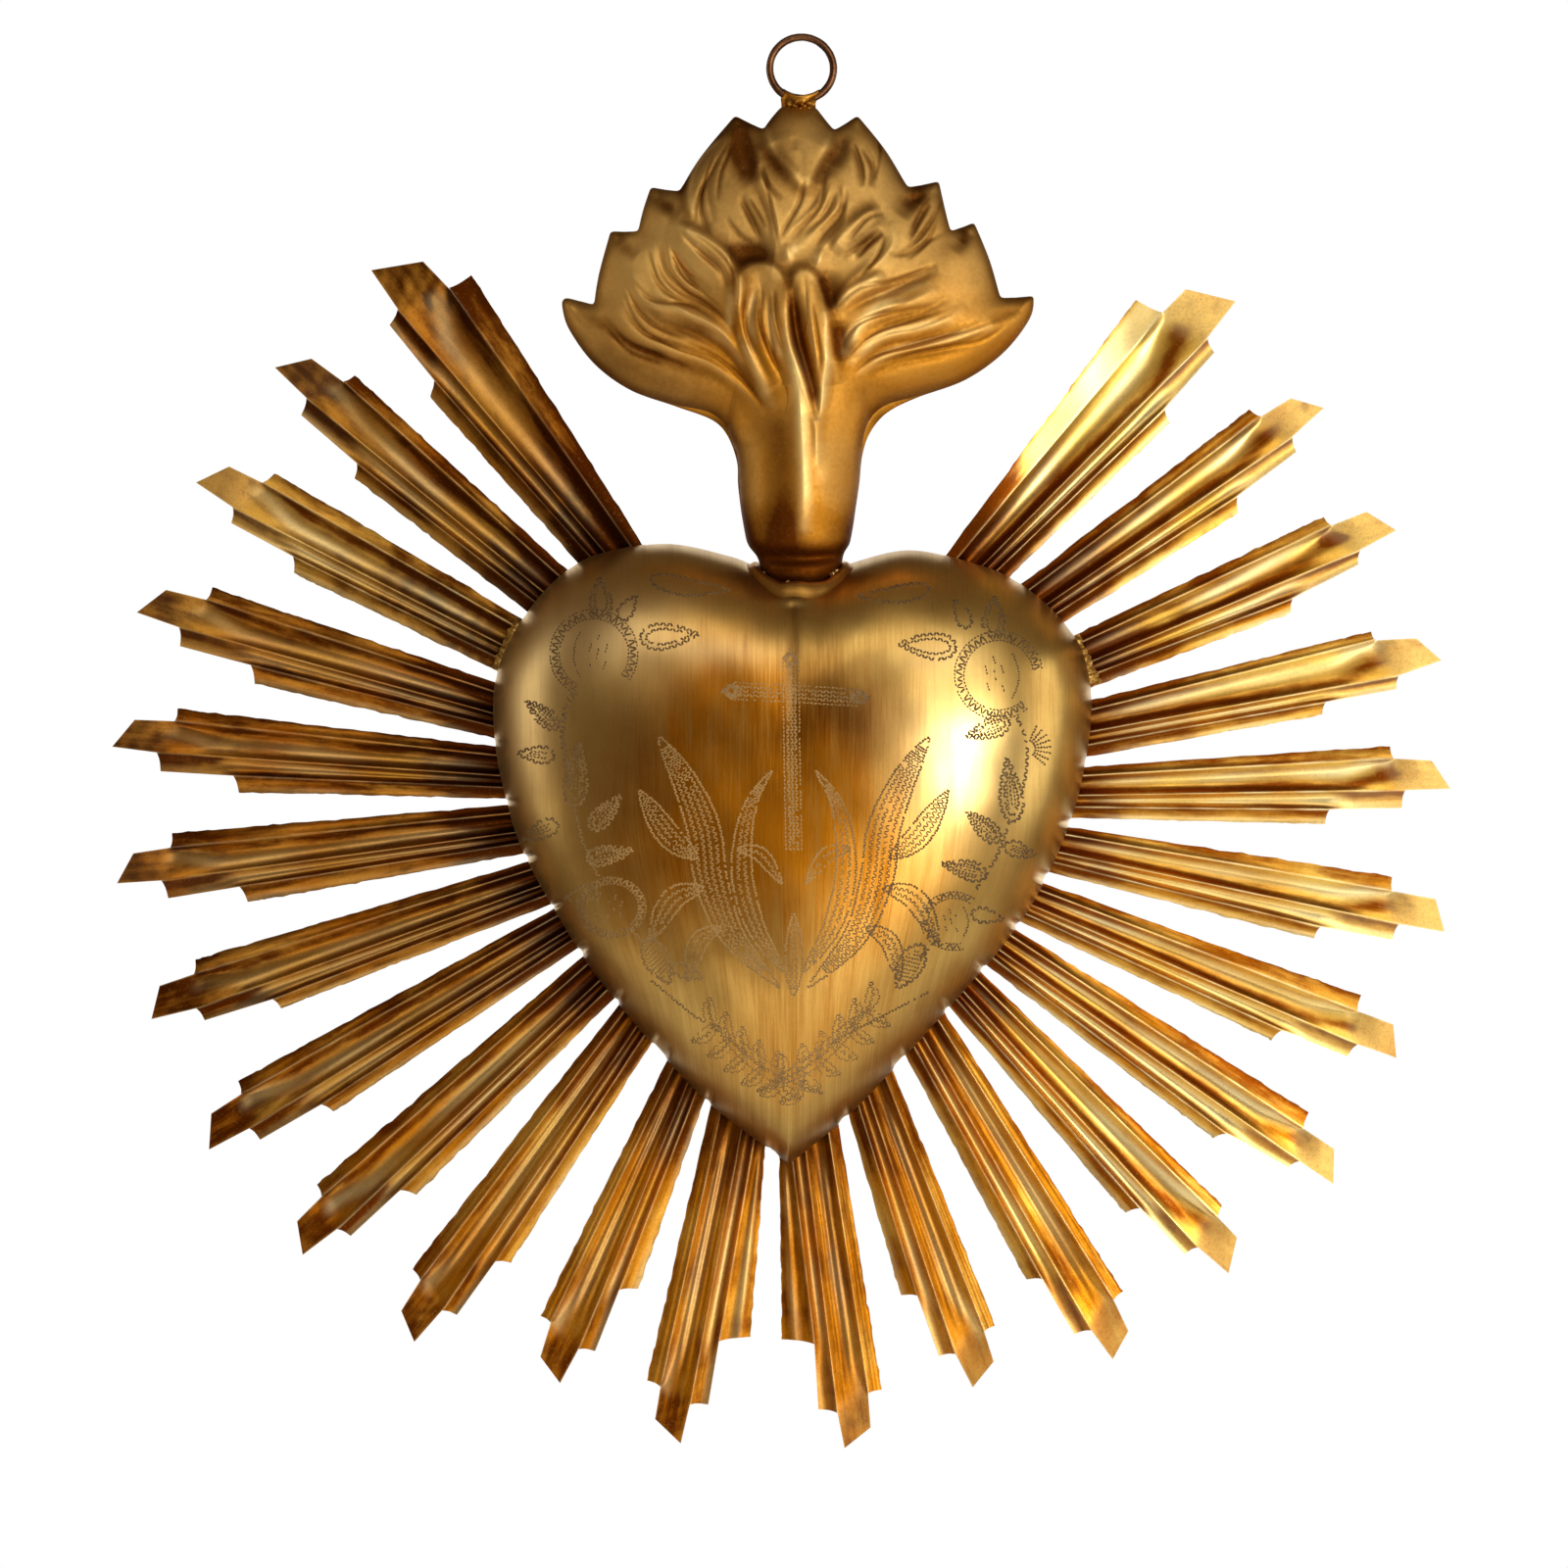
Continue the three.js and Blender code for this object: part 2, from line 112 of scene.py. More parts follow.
# ---------------------------------------------------------------- meshes
def mesh_object(name, verts, faces, attrs=None, material=None, materials=None, face_mat=None, smooth_faces=True):
    me = bpy.data.meshes.new(name)
    me.from_pydata((np.asarray(verts, float) * 1e-3).tolist(), [], [list(map(int, f)) for f in faces])
    for key, values in (attrs or {}).items():
        a = me.attributes.new(key, "FLOAT", "POINT")
        a.data.foreach_set("value", np.ascontiguousarray(values, dtype=np.float32))
    for m in materials or [material]:
        me.materials.append(m)
    if face_mat is not None:
        me.polygons.foreach_set("material_index", np.asarray(face_mat, dtype=np.int32))
    me.polygons.foreach_set("use_smooth", np.full(len(me.polygons), smooth_faces))
    me.validate()
    me.update()
    ob = bpy.data.objects.new(name, me)
    bpy.context.scene.collection.objects.link(ob)
    return ob


class Patch:
    """Collects grids of vertices into one mesh."""

    def __init__(self):
        self.v, self.f, self.a, self.m = [], [], {}, []
        self.n = 0

    def add(self, verts, faces, mat=0, **attrs):
        verts = np.asarray(verts, float).reshape(-1, 3)
        faces = [tuple(i + self.n for i in f) for f in faces]
        for key in set(self.a) | set(attrs):
            if key not in self.a:
                self.a[key] = [np.zeros(self.n)]
            val = attrs.get(key, 0.0)
            self.a[key].append(np.broadcast_to(np.asarray(val, float).reshape(-1) if np.ndim(val) else val, (len(verts),)).astype(float))
        self.v.append(verts)
        self.f += faces
        self.m += [mat] * len(faces)
        self.n += len(verts)

    def grid(self, g, flip=False, wrap=False, mat=0, **attrs):
        """g[i, j] is a point. wrap closes the first index."""
        g = np.asarray(g, float)
        a, b = g.shape[:2]
        i = np.arange(a if wrap else a - 1)
        j = np.arange(b - 1)
        I, J = np.meshgrid(i, j, indexing="ij")
        I2 = (I + 1) % a
        q = np.stack([I * b + J, I2 * b + J, I2 * b + J + 1, I * b + J + 1], -1).reshape(-1, 4)
        if flip:
            q = q[:, ::-1]
        self.add(g.reshape(-1, 3), q.tolist(), mat, **{k: np.asarray(v).reshape(-1) if np.ndim(v) else v for k, v in attrs.items()})

    def build(self, name, material=None, materials=None):
        attrs = {k: np.concatenate(v) for k, v in self.a.items()}
        return mesh_object(name, np.concatenate(self.v), self.f, attrs, material, materials, self.m if materials else None)


def place(ob, *nodes, slot):
    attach(ob, "root")
    if nodes:
        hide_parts(*nodes)
    return ob


# ---------------------------------------------------------------- materials
class Nodes:
    def __init__(self, name):
        self.m = bpy.data.materials.new(name)
        self.m.use_nodes = True
        self.t = self.m.node_tree
        self.t.nodes.clear()
        self.out = self.t.nodes.new("ShaderNodeOutputMaterial")
        self.b = self.t.nodes.new("ShaderNodeBsdfPrincipled")
        self.t.links.new(self.b.outputs[0], self.out.inputs[0])

    def set(self, node, socket, value):
        if isinstance(value, bpy.types.NodeSocket):
            self.t.links.new(value, node.inputs[socket])
        else:
            node.inputs[socket].default_value = value

    def attr(self, name):
        n = self.t.nodes.new("ShaderNodeAttribute")
        n.attribute_name = name
        return n.outputs["Fac"]

    def coords(self, scale=(1, 1, 1)):
        n = self.t.nodes.new("ShaderNodeTexCoord")
        m = self.t.nodes.new("ShaderNodeMapping")
        m.inputs["Scale"].default_value = scale
        self.t.links.new(n.outputs["Object"], m.inputs["Vector"])
        return m.outputs[0]

    def combine(self, x, y, z=0.0):
        n = self.t.nodes.new("ShaderNodeCombineXYZ")
        for i, v in enumerate((x, y, z)):
            self.set(n, i, v)
        return n.outputs[0]

    def noise(self, vec, scale, detail=4.0, rough=0.55, distort=0.0):
        n = self.t.nodes.new("ShaderNodeTexNoise")
        self.set(n, "Vector", vec)
        n.inputs["Scale"].default_value = scale
        n.inputs["Detail"].default_value = detail
        n.inputs["Roughness"].default_value = rough
        n.inputs["Distortion"].default_value = distort
        return n.outputs["Fac"]

    def math(self, op, a, b=0.0, c=0.0, clamp=False):
        n = self.t.nodes.new("ShaderNodeMath")
        n.operation = op
        n.use_clamp = clamp
        for i, v in enumerate((a, b, c)):
            self.set(n, i, v)
        return n.outputs[0]

    def remap(self, v, a, b, c=0.0, d=1.0):
        n = self.t.nodes.new("ShaderNodeMapRange")
        n.interpolation_type = "SMOOTHSTEP"
        self.set(n, "Value", v)
        for k, x in zip(("From Min", "From Max", "To Min", "To Max"), (a, b, c, d)):
            n.inputs[k].default_value = x
        return n.outputs[0]

    def mix(self, fac, a, b, blend="MIX"):
        n = self.t.nodes.new("ShaderNodeMix")
        n.data_type = "RGBA"
        n.blend_type = blend
        n.clamp_factor = True
        self.set(n, 0, fac)
        for i, v in ((6, a), (7, b)):
            self.set(n, i, v if isinstance(v, bpy.types.NodeSocket) else (*v, 1.0))
        return n.outputs[2]

    def bump(self, height, strength, dist):
        n = self.t.nodes.new("ShaderNodeBump")
        n.inputs["Strength"].default_value = strength
        n.inputs["Distance"].default_value = dist
        self.set(n, "Height", height)
        return n.outputs[0]

    def finish(self, color, rough, normal=None, coat=0.0, coat_rough=0.25, metal=1.0):
        self.set(self.b, "Base Color", color)
        self.set(self.b, "Roughness", rough)
        self.b.inputs["Metallic"].default_value = metal
        self.b.inputs["Coat Weight"].default_value = coat
        self.b.inputs["Coat Roughness"].default_value = coat_rough
        if normal is not None:
            self.set(self.b, "Normal", normal)
        return self.m


def brass(name, pale, mid, dark, rough=(0.24, 0.4), blotch=70.0, streak=None, grain=0.10, coat=0.0, bump=0.25, lit_palette=None, spread=0.6, brush=0.4, polish=0.0, metal=1.0, highlight_color=(0.88, 0.64, 0.25), speck=0.0, rust=None):
    """Patinated brass. Attributes, each 0 to 1: shade darkens it towards brown, for patina and for painted shade; warm
    turns it from olive gold to amber; glow mixes in the pale highlight colour as a painted highlight; matte roughens
    it; and tone goes from this palette to the lit palette, a painted lit copy of it.
    """
    n = Nodes(name)
    obj = n.coords()
    big = n.noise(obj, blotch, 5.0, 0.6, 0.4)
    med = n.noise(obj, blotch * 5.2, 4.0, 0.6)
    fine = n.noise(obj, 2600.0, 3.0, 0.7)
    if streak == "ray":
        wide = n.noise(n.combine(n.attr("across"), n.math("MULTIPLY", n.attr("along"), 0.09)), 0.50, 3.0, 0.55, 0.2)
        thin = n.noise(n.combine(n.attr("across"), n.math("MULTIPLY", n.attr("along"), 0.05)), 2.4, 3.0, 0.6)
        lines = n.math("ADD", n.math("MULTIPLY", thin, 0.22), n.math("MULTIPLY", wide, 0.78))
        tint = n.noise(n.combine(n.math("ADD", n.attr("across"), 37.0), n.math("MULTIPLY", n.attr("along"), 0.10)), 0.55, 3.0, 0.55, 0.2)
        patch = n.noise(n.combine(n.math("ADD", n.attr("across"), 11.0), n.math("MULTIPLY", n.attr("along"), 0.24)), 0.24, 6.0, 0.66, 0.4)
    elif streak == "brush":
        thin = n.noise(n.combine(n.attr("across"), n.math("MULTIPLY", n.attr("along"), 0.035)), 1.7, 4.0, 0.65)
        wide = n.noise(n.combine(n.attr("across"), n.math("MULTIPLY", n.attr("along"), 0.10)), 0.30, 3.0, 0.55, 0.5)
        lines = n.math("ADD", n.math("MULTIPLY", thin, 0.55), n.math("MULTIPLY", wide, 0.45))
    else:
        lines = n.noise(obj, 900.0, 3.0, 0.6)
    # the lit palette is a lit copy of this one, for the rays painted as lit
    if lit_palette:
        tone = n.attr("tone")
        pale, mid, dark = (n.mix(tone, x, y) for x, y in zip((pale, mid, dark), lit_palette))
    warm = n.attr("warm")
    if rust:
        dark = n.mix(warm, dark, n.mix(n.attr("tone"), *rust) if lit_palette else rust)
    w = n.math("ADD", warm, n.math("MULTIPLY", n.math("SUBTRACT", big, 0.5), spread * 3.0))
    grip = n.math("ADD", n.math("MULTIPLY", warm, 1.0), 0.35)
    w = n.math("ADD", w, n.math("MULTIPLY", n.math("MULTIPLY", n.math("SUBTRACT", tint if streak == "ray" else lines, 0.5), brush * 2.0), grip), clamp=True)
    col = n.mix(w, pale, mid)
    sh = n.math("ADD", n.attr("shade"), n.math("MULTIPLY", n.math("SUBTRACT", med, 0.5), 0.4))
    sh = n.math("ADD", sh, n.math("MULTIPLY", n.math("MULTIPLY", n.math("SUBTRACT", lines, 0.5), brush * 2.2), grip), clamp=True)
    if streak == "ray":
        mottle = n.math("MULTIPLY", n.math("SUBTRACT", n.remap(patch, 0.38, 0.62), 0.5), n.math("SUBTRACT", 0.46, n.math("MULTIPLY", n.attr("tone"), 0.26)))
        mottle = n.math("MULTIPLY", mottle, n.math("SUBTRACT", 1.0, n.math("MULTIPLY", n.attr("matte"), 0.65)))
        sh = n.remap(n.math("ADD", sh, mottle, clamp=True), 0.03, 0.86)
    col = n.mix(sh, col, dark)
    matte = n.attr("matte")
    col = n.mix(n.math("MULTIPLY", n.remap(fine, 0.5, 0.78), n.math("ADD", n.math("MULTIPLY", matte, 0.35), grain * 3.0)), col, dark)
    # glow: painted highlights in the pale highlight colour
    col = n.mix(n.attr("glow"), col, highlight_color)
    if speck:
        dots = n.noise(obj, 1150.0, 3.0, 0.7)
        amount = n.math("ADD", n.math("MULTIPLY", matte, 0.9 * speck), speck)
        col = n.mix(n.math("MULTIPLY", n.remap(dots, 0.50, 0.66), amount), col, n.mix(0.55, mid, dark))
        col = n.mix(n.math("MULTIPLY", n.remap(dots, 0.45, 0.32), n.math("MULTIPLY", amount, 0.7)), col, pale)
    r = n.remap(n.math("ADD", n.math("MULTIPLY", lines, 0.5), n.math("MULTIPLY", big, 0.5)), 0.32, 0.68, rough[0], rough[1])
    r = n.math("ADD", r, n.math("MULTIPLY", sh, 0.06))
    r = n.math("SUBTRACT", r, n.math("MULTIPLY", warm, polish))
    r = n.math("ADD", r, n.math("MULTIPLY", matte, 0.26))
    h = n.math("ADD", n.math("MULTIPLY", fine, 0.5), lines)
    return n.finish(col, r, n.bump(h, bump, 0.00012), coat, metal=metal)


MAT_HEART = brass("heart_brass", (0.66, 0.445, 0.130), (0.56, 0.205, 0.008), (0.13, 0.047, 0.008), (0.27, 0.40), 22.0, "brush", 0.07, 0.0, 0.18, spread=0.14, brush=0.75, highlight_color=(0.92, 0.74, 0.42), rust=(0.125, 0.030, 0.001))
MAT_CUT = brass("heart_cut_lines", (0.44, 0.27, 0.090), (0.38, 0.22, 0.065), (0.050, 0.025, 0.007), (0.6, 0.75), 60.0, None, 0.0, 0.0, 0.2, metal=0.15, spread=0.2)
MAT_RAY = brass(
    "ray_brass", (0.42, 0.190, 0.025), (0.265, 0.070, 0.0035), (0.054, 0.0125, 0.0010), (0.26, 0.36), 38.0, "ray", 0.13, 0.0, 0.06,
    lit_palette=((0.95, 0.62, 0.118), (0.74, 0.285, 0.009), (0.23, 0.058, 0.003)), spread=0.35, brush=0.60, highlight_color=(1.0, 0.92, 0.52), speck=0.13, rust=((0.050, 0.0095, 0.0006), (0.23, 0.046, 0.0015)),
)
MAT_FLAME = brass("flame_brass", (0.65, 0.412, 0.126), (0.58, 0.250, 0.020), (0.105, 0.038, 0.006), (0.58, 0.70), 40.0, None, 0.04, 0.0, 0.12, spread=0.25, brush=0.10, polish=0.10, highlight_color=(0.96, 0.74, 0.31), speck=0.10, rust=(0.125, 0.030, 0.0020))
MAT_RING = brass("ring_brass", (0.215, 0.098, 0.044), (0.15, 0.058, 0.024), (0.045, 0.020, 0.012), (0.28, 0.42), 160.0, None, 0.12, 0.0)
MAT_SOLDER = brass("solder_brass", (0.66, 0.41, 0.090), (0.52, 0.21, 0.018), (0.14, 0.046, 0.006), (0.30, 0.46), 120.0, None, 0.06, 0.0, 0.2)
MAT_BACK = brass("back_brass", (0.58, 0.355, 0.080), (0.50, 0.215, 0.024), (0.13, 0.045, 0.009), (0.20, 0.34), 22.0, "brush", 0.04, 0.0, 0.10, spread=0.14, brush=0.16)
MAT_FLAME_BACK = brass("flame_back_brass", (0.60, 0.380, 0.105), (0.54, 0.235, 0.022), (0.12, 0.044, 0.007), (0.34, 0.46), 40.0, None, 0.04, 0.0, 0.12, spread=0.20, brush=0.10)

# ---------------------------------------------------------------- heart
HEART_LEFT = [[816, 594], [797, 589], [770, 577], [744, 567], [683, 554.6], [621.6, 562.6], [579, 581.5], [537, 626], [508, 683], [504, 744], [515, 810], [537, 876], [588.5, 966], [626, 1018], [678, 1079], [725, 1127], [773, 1164], [805, 1188]]
HEART_RIGHT = [[805, 1188], [858, 1145], [905, 1098], [990, 1004], [1037, 947], [1070, 891], [1098, 820], [1112.4, 744], [1111.5, 692], [1093.5, 645], [1042, 596], [990, 574], [928, 561], [869, 574], [838, 588], [816, 594]]
_px = np.concatenate([catmull(HEART_LEFT, 60)[:-1], catmull(HEART_RIGHT, 60)[:-1]])
HC = np.array([gx(808, RIM_Y), gz(800, RIM_Y)])
_hx, _hz = gx(_px[:, 0], RIM_Y) - HC[0], gz(_px[:, 1], RIM_Y) - HC[1]
_ang = np.unwrap(np.arctan2(_hz, _hx))
_rad = np.hypot(_hx, _hz)
if _ang[-1] < _ang[0]:
    _ang, _rad = _ang[::-1], _rad[::-1]
TH = np.linspace(0, 2 * np.pi, 1440, endpoint=False)
_base = _ang[0]
R_TRUE = np.interp((TH - _base) % (2 * np.pi), np.concatenate([_ang - _base, [2 * np.pi]]), np.concatenate([_rad, _rad[:1]]))


def blur_ring(r, sigma):
    k = np.arange(-240, 241)
    w = np.exp(-0.5 * (k / sigma) ** 2)
    w /= w.sum()
    return np.convolve(np.concatenate([r[-240:], r, r[:240]]), w, "same")[240:-240]


_tip = np.arctan2(gz(1188, RIM_Y) - HC[1], gx(805, RIM_Y) - HC[0])
_near_tip = np.exp(-0.5 * ((np.angle(np.exp(1j * (TH - _tip)))) / 0.55) ** 2)
R_SOFT = blur_ring(R_TRUE, 9.0) * (1 - _near_tip) + blur_ring(R_TRUE, 44.0) * _near_tip
_cleft = np.arctan2(gz(594, RIM_Y) - HC[1], gx(816, RIM_Y) - HC[0])
NEAR_CLEFT = np.exp(-((np.angle(np.exp(1j * (TH - _cleft)))) / 0.15) ** 2)
R_SOFT = R_SOFT + 3.4 * NEAR_CLEFT


def ring_at(table, th):
    f = (np.asarray(th) % (2 * np.pi)) / (2 * np.pi) * len(table)
    i = np.floor(f).astype(int)
    k = f - i
    return table[i % len(table)] * (1 - k) + table[(i + 1) % len(table)] * k


W_DOME = Wobble(11)


def dome_y(x, z, grow=0.0, cut=1.0):
    dx, dz = np.asarray(x, float) - HC[0], np.asarray(z, float) - HC[1]
    r, th = np.hypot(dx, dz), np.arctan2(dz, dx)
    rt, rs = ring_at(R_TRUE, th) + grow, ring_at(R_SOFT, th) + grow
    t = r / rt
    nc = ring_at(NEAR_CLEFT, th)
    reff = rs + (rt - rs) * (smooth(0.55, 1.0, t) * (1 - nc) + smooth(0.975, 1.0, t) * nc)
    te = np.clip(r / reff, 0, 1)
    y = RIM_Y - (DOME_H + grow) * (1 - te**DOME_A) ** DOME_B
    amp = 0.16 * smooth(1.0, 0.8, t)
    u, v = to_u(x, -18.0), to_v(z, -18.0)
    crease = np.exp(-np.sqrt((u - 809) ** 2 + 9.0) / 7.0) * 1.3 + np.exp(-(((u - 809) / 26) ** 2)) * 0.5
    y = y + cut * crease * smooth(770, 640, v) * smooth(608, 622, v)
    return y + amp * W_DOME(x, 0, z, 46.0) + 0.35 * amp * W_DOME(z, 3, x, 15.0)


def on_dome(u, v, lift=0.0):
    """A grid point laid on the dome's front."""
    u, v = np.asarray(u, float), np.asarray(v, float)
    y = np.full(np.broadcast(u, v).shape, -15.0)
    for _ in range(8):
        y = dome_y(gx(u, y), gz(v, y))
    x, z = gx(u, y), gz(v, y)
    e = 0.25
    n = np.stack([(dome_y(x + e, z) - dome_y(x - e, z)) / (2 * e), np.full_like(x, -1.0), (dome_y(x, z + e) - dome_y(x, z - e)) / (2 * e)], -1)
    n /= np.linalg.norm(n, axis=-1, keepdims=True)
    return np.stack([x, y, z], -1) + n * np.asarray(lift)[..., None], n


# ---- ray outlines: outer edge A base, shoulder, notch, tip corner, tip point, then the steps back down edge B
RAYS = {
    "left": [
        [[655, 554.5], [481.7, 280.9], [459.9, 296.2], [432.3, 267.6], [379.5, 276.7], [407.8, 318.1], [397.9, 332.3], [445, 390.4], [438.5, 404.8], [590.7, 575.2]],
        [[580, 583], [362.2, 383.1], [352.1, 390.9], [318.1, 366.2], [280.6, 375.1], [314.5, 407.9], [307.2, 423.6], [366.1, 474.5], [361.8, 487.8], [537.5, 623.5]],
        [[531.4, 630.8], [280.6, 483], [270.2, 493.9], [234.5, 476.4], [200.6, 492.7], [240.1, 519.3], [236.2, 533.9], [301.2, 569], [300, 584.8], [506, 684.1]],
        [[505.5, 696.2], [217.1, 599.8], [213.2, 612.7], [170.3, 602.2], [140.3, 625.2], [185.6, 641.1], [184.1, 659.5], [258.5, 679.4], [260, 697.8], [502.5, 752.9]],
        [[502.5, 761.4], [181.6, 723.2], [181, 736], [138.2, 734.5], [115.2, 762], [162.7, 768.2], [164.2, 787.1], [240.7, 791.7], [243.8, 808.6], [514.7, 814.7]],
        [[516.2, 821.7], [175.8, 850.2], [176.4, 864.6], [136.6, 870.7], [119.8, 901.3], [167.2, 898.3], [171.8, 916.6], [246.8, 904.4], [253, 920.6], [536.1, 870.7]],
        [[537.6, 879.9], [199, 979], [200, 993.2], [162.7, 1006], [154.4, 1040], [202.3, 1028.4], [208.7, 1041.2], [280.4, 1018.9], [286.8, 1029.1], [560, 923.5]],
        [[561, 929.6], [243.1, 1103.4], [247.9, 1115.2], [215.7, 1136.2], [213.5, 1172.9], [256.5, 1150.2], [265.5, 1163], [329.9, 1125.7], [340.4, 1134.3], [586.6, 969.4]],
        [[591.4, 979], [323.5, 1208.6], [329.9, 1219.1], [303.4, 1245.9], [309.1, 1280.3], [345.8, 1252.6], [357.9, 1261.2], [410.2, 1212.7], [424.9, 1219.1], [623.2, 1022]],
        [[626.4, 1031.6], [420.8, 1294.7], [430.3, 1304.2], [409.6, 1337.1], [423, 1369], [452.6, 1335.2], [466.4, 1341.6], [506.9, 1285.1], [521.2, 1288.3], [661.5, 1069.9]],
        [[679, 1085.8], [551.5, 1342.5], [562.7, 1347.3], [551.5, 1384], [571.6, 1411.1], [591.4, 1374.4], [607.3, 1378.6], [632.8, 1313.8], [651.3, 1315.4], [718.5, 1123.1]],
        [[725.6, 1127.3], [660.2, 1408], [674.5, 1412.2], [668.6, 1447.2], [694.7, 1472], [704.5, 1430.4], [722.8, 1432.7], [734, 1365.9], [765.7, 1363.9], [780.3, 1177.9]],
    ],
    "right": [
        [[968.7, 561.9], [1158.4, 306.5], [1184.4, 321.2], [1209.4, 295.6], [1260.3, 308.2], [1230, 347.2], [1238.6, 360.2], [1186.6, 418.8], [1193.1, 431.8], [1031.6, 586.8]],
        [[1042.6, 595.5], [1274.7, 417.9], [1284.5, 426.3], [1316.8, 406.7], [1350.4, 416.5], [1316.8, 447.3], [1322.4, 461.4], [1260.6, 507.7], [1263.4, 523.1], [1085, 636]],
        [[1093.7, 649.4], [1350.4, 527.3], [1356, 537.1], [1393.9, 522.5], [1424, 541.4], [1385.5, 562.4], [1385.5, 576.4], [1316.8, 611.5], [1316.8, 625.5], [1117.5, 699.9]],
        [[1113.3, 714.5], [1399, 644.3], [1400.9, 653.6], [1444.4, 651.4], [1470.3, 674.1], [1424.8, 690.1], [1424.8, 703.3], [1350.4, 716.7], [1349, 729.4], [1113.3, 771.5]],
        [[1111.9, 782.4], [1417.8, 761.4], [1419.2, 774], [1459.9, 776], [1479, 804.9], [1431, 806.3], [1429.9, 824.5], [1354.1, 825.9], [1351.8, 840.8], [1093.7, 834.4]],
        [[1092.3, 844.2], [1420.6, 894.1], [1417.8, 908.7], [1464.1, 917.1], [1473.3, 950.8], [1424.8, 942.4], [1420.6, 958.7], [1344.8, 945.2], [1340.6, 957.8], [1068.4, 889.1]],
        [[1063, 901], [1387.8, 1015.9], [1382.7, 1030.8], [1420.6, 1044.8], [1424, 1079.3], [1382.7, 1064.5], [1374.3, 1077.7], [1305.5, 1050.4], [1297.1, 1061.1], [1039, 939]],
        [[1036, 948], [1335.3, 1134.9], [1328, 1150.1], [1360.8, 1172.2], [1360.1, 1207.9], [1324.1, 1183.4], [1314.5, 1190.7], [1249.2, 1155.3], [1238, 1161], [1009, 987]],
        [[1003, 994], [1246.9, 1229.6], [1241.2, 1240.8], [1261.9, 1262.1], [1253.3, 1299.1], [1220.5, 1271], [1208.7, 1279.7], [1161.5, 1231.2], [1148.1, 1237.6], [971.7, 1030.3]],
        [[967, 1038.3], [1145.5, 1317.9], [1135.3, 1324.6], [1151.3, 1357.8], [1135.3, 1386.8], [1112.1, 1355.5], [1096.1, 1361.3], [1062, 1302.9], [1047.3, 1306.1], [927.1, 1082.9]],
        [[912.8, 1095.7], [1015.4, 1352.4], [1003.6, 1356.5], [1013.8, 1389], [992.5, 1415.5], [974, 1379.5], [958, 1383.6], [935.1, 1319.8], [919.1, 1322.1], [865.9, 1137.2]],
        [[856, 1149.8], [899.5, 1417.8], [885.5, 1419.2], [888.3, 1455.7], [861.7, 1476.7], [854.1, 1438.8], [835, 1437.4], [830.8, 1368.7], [798, 1365.9], [795.2, 1190.5]],
    ],
}
EDGE = [0, 0.17, 0.56, 0.785, 1]
RAY_FRONT, RAY_D, RAY_SHEET, TUCK = 9.85, 1.9, 0.6, 9.0


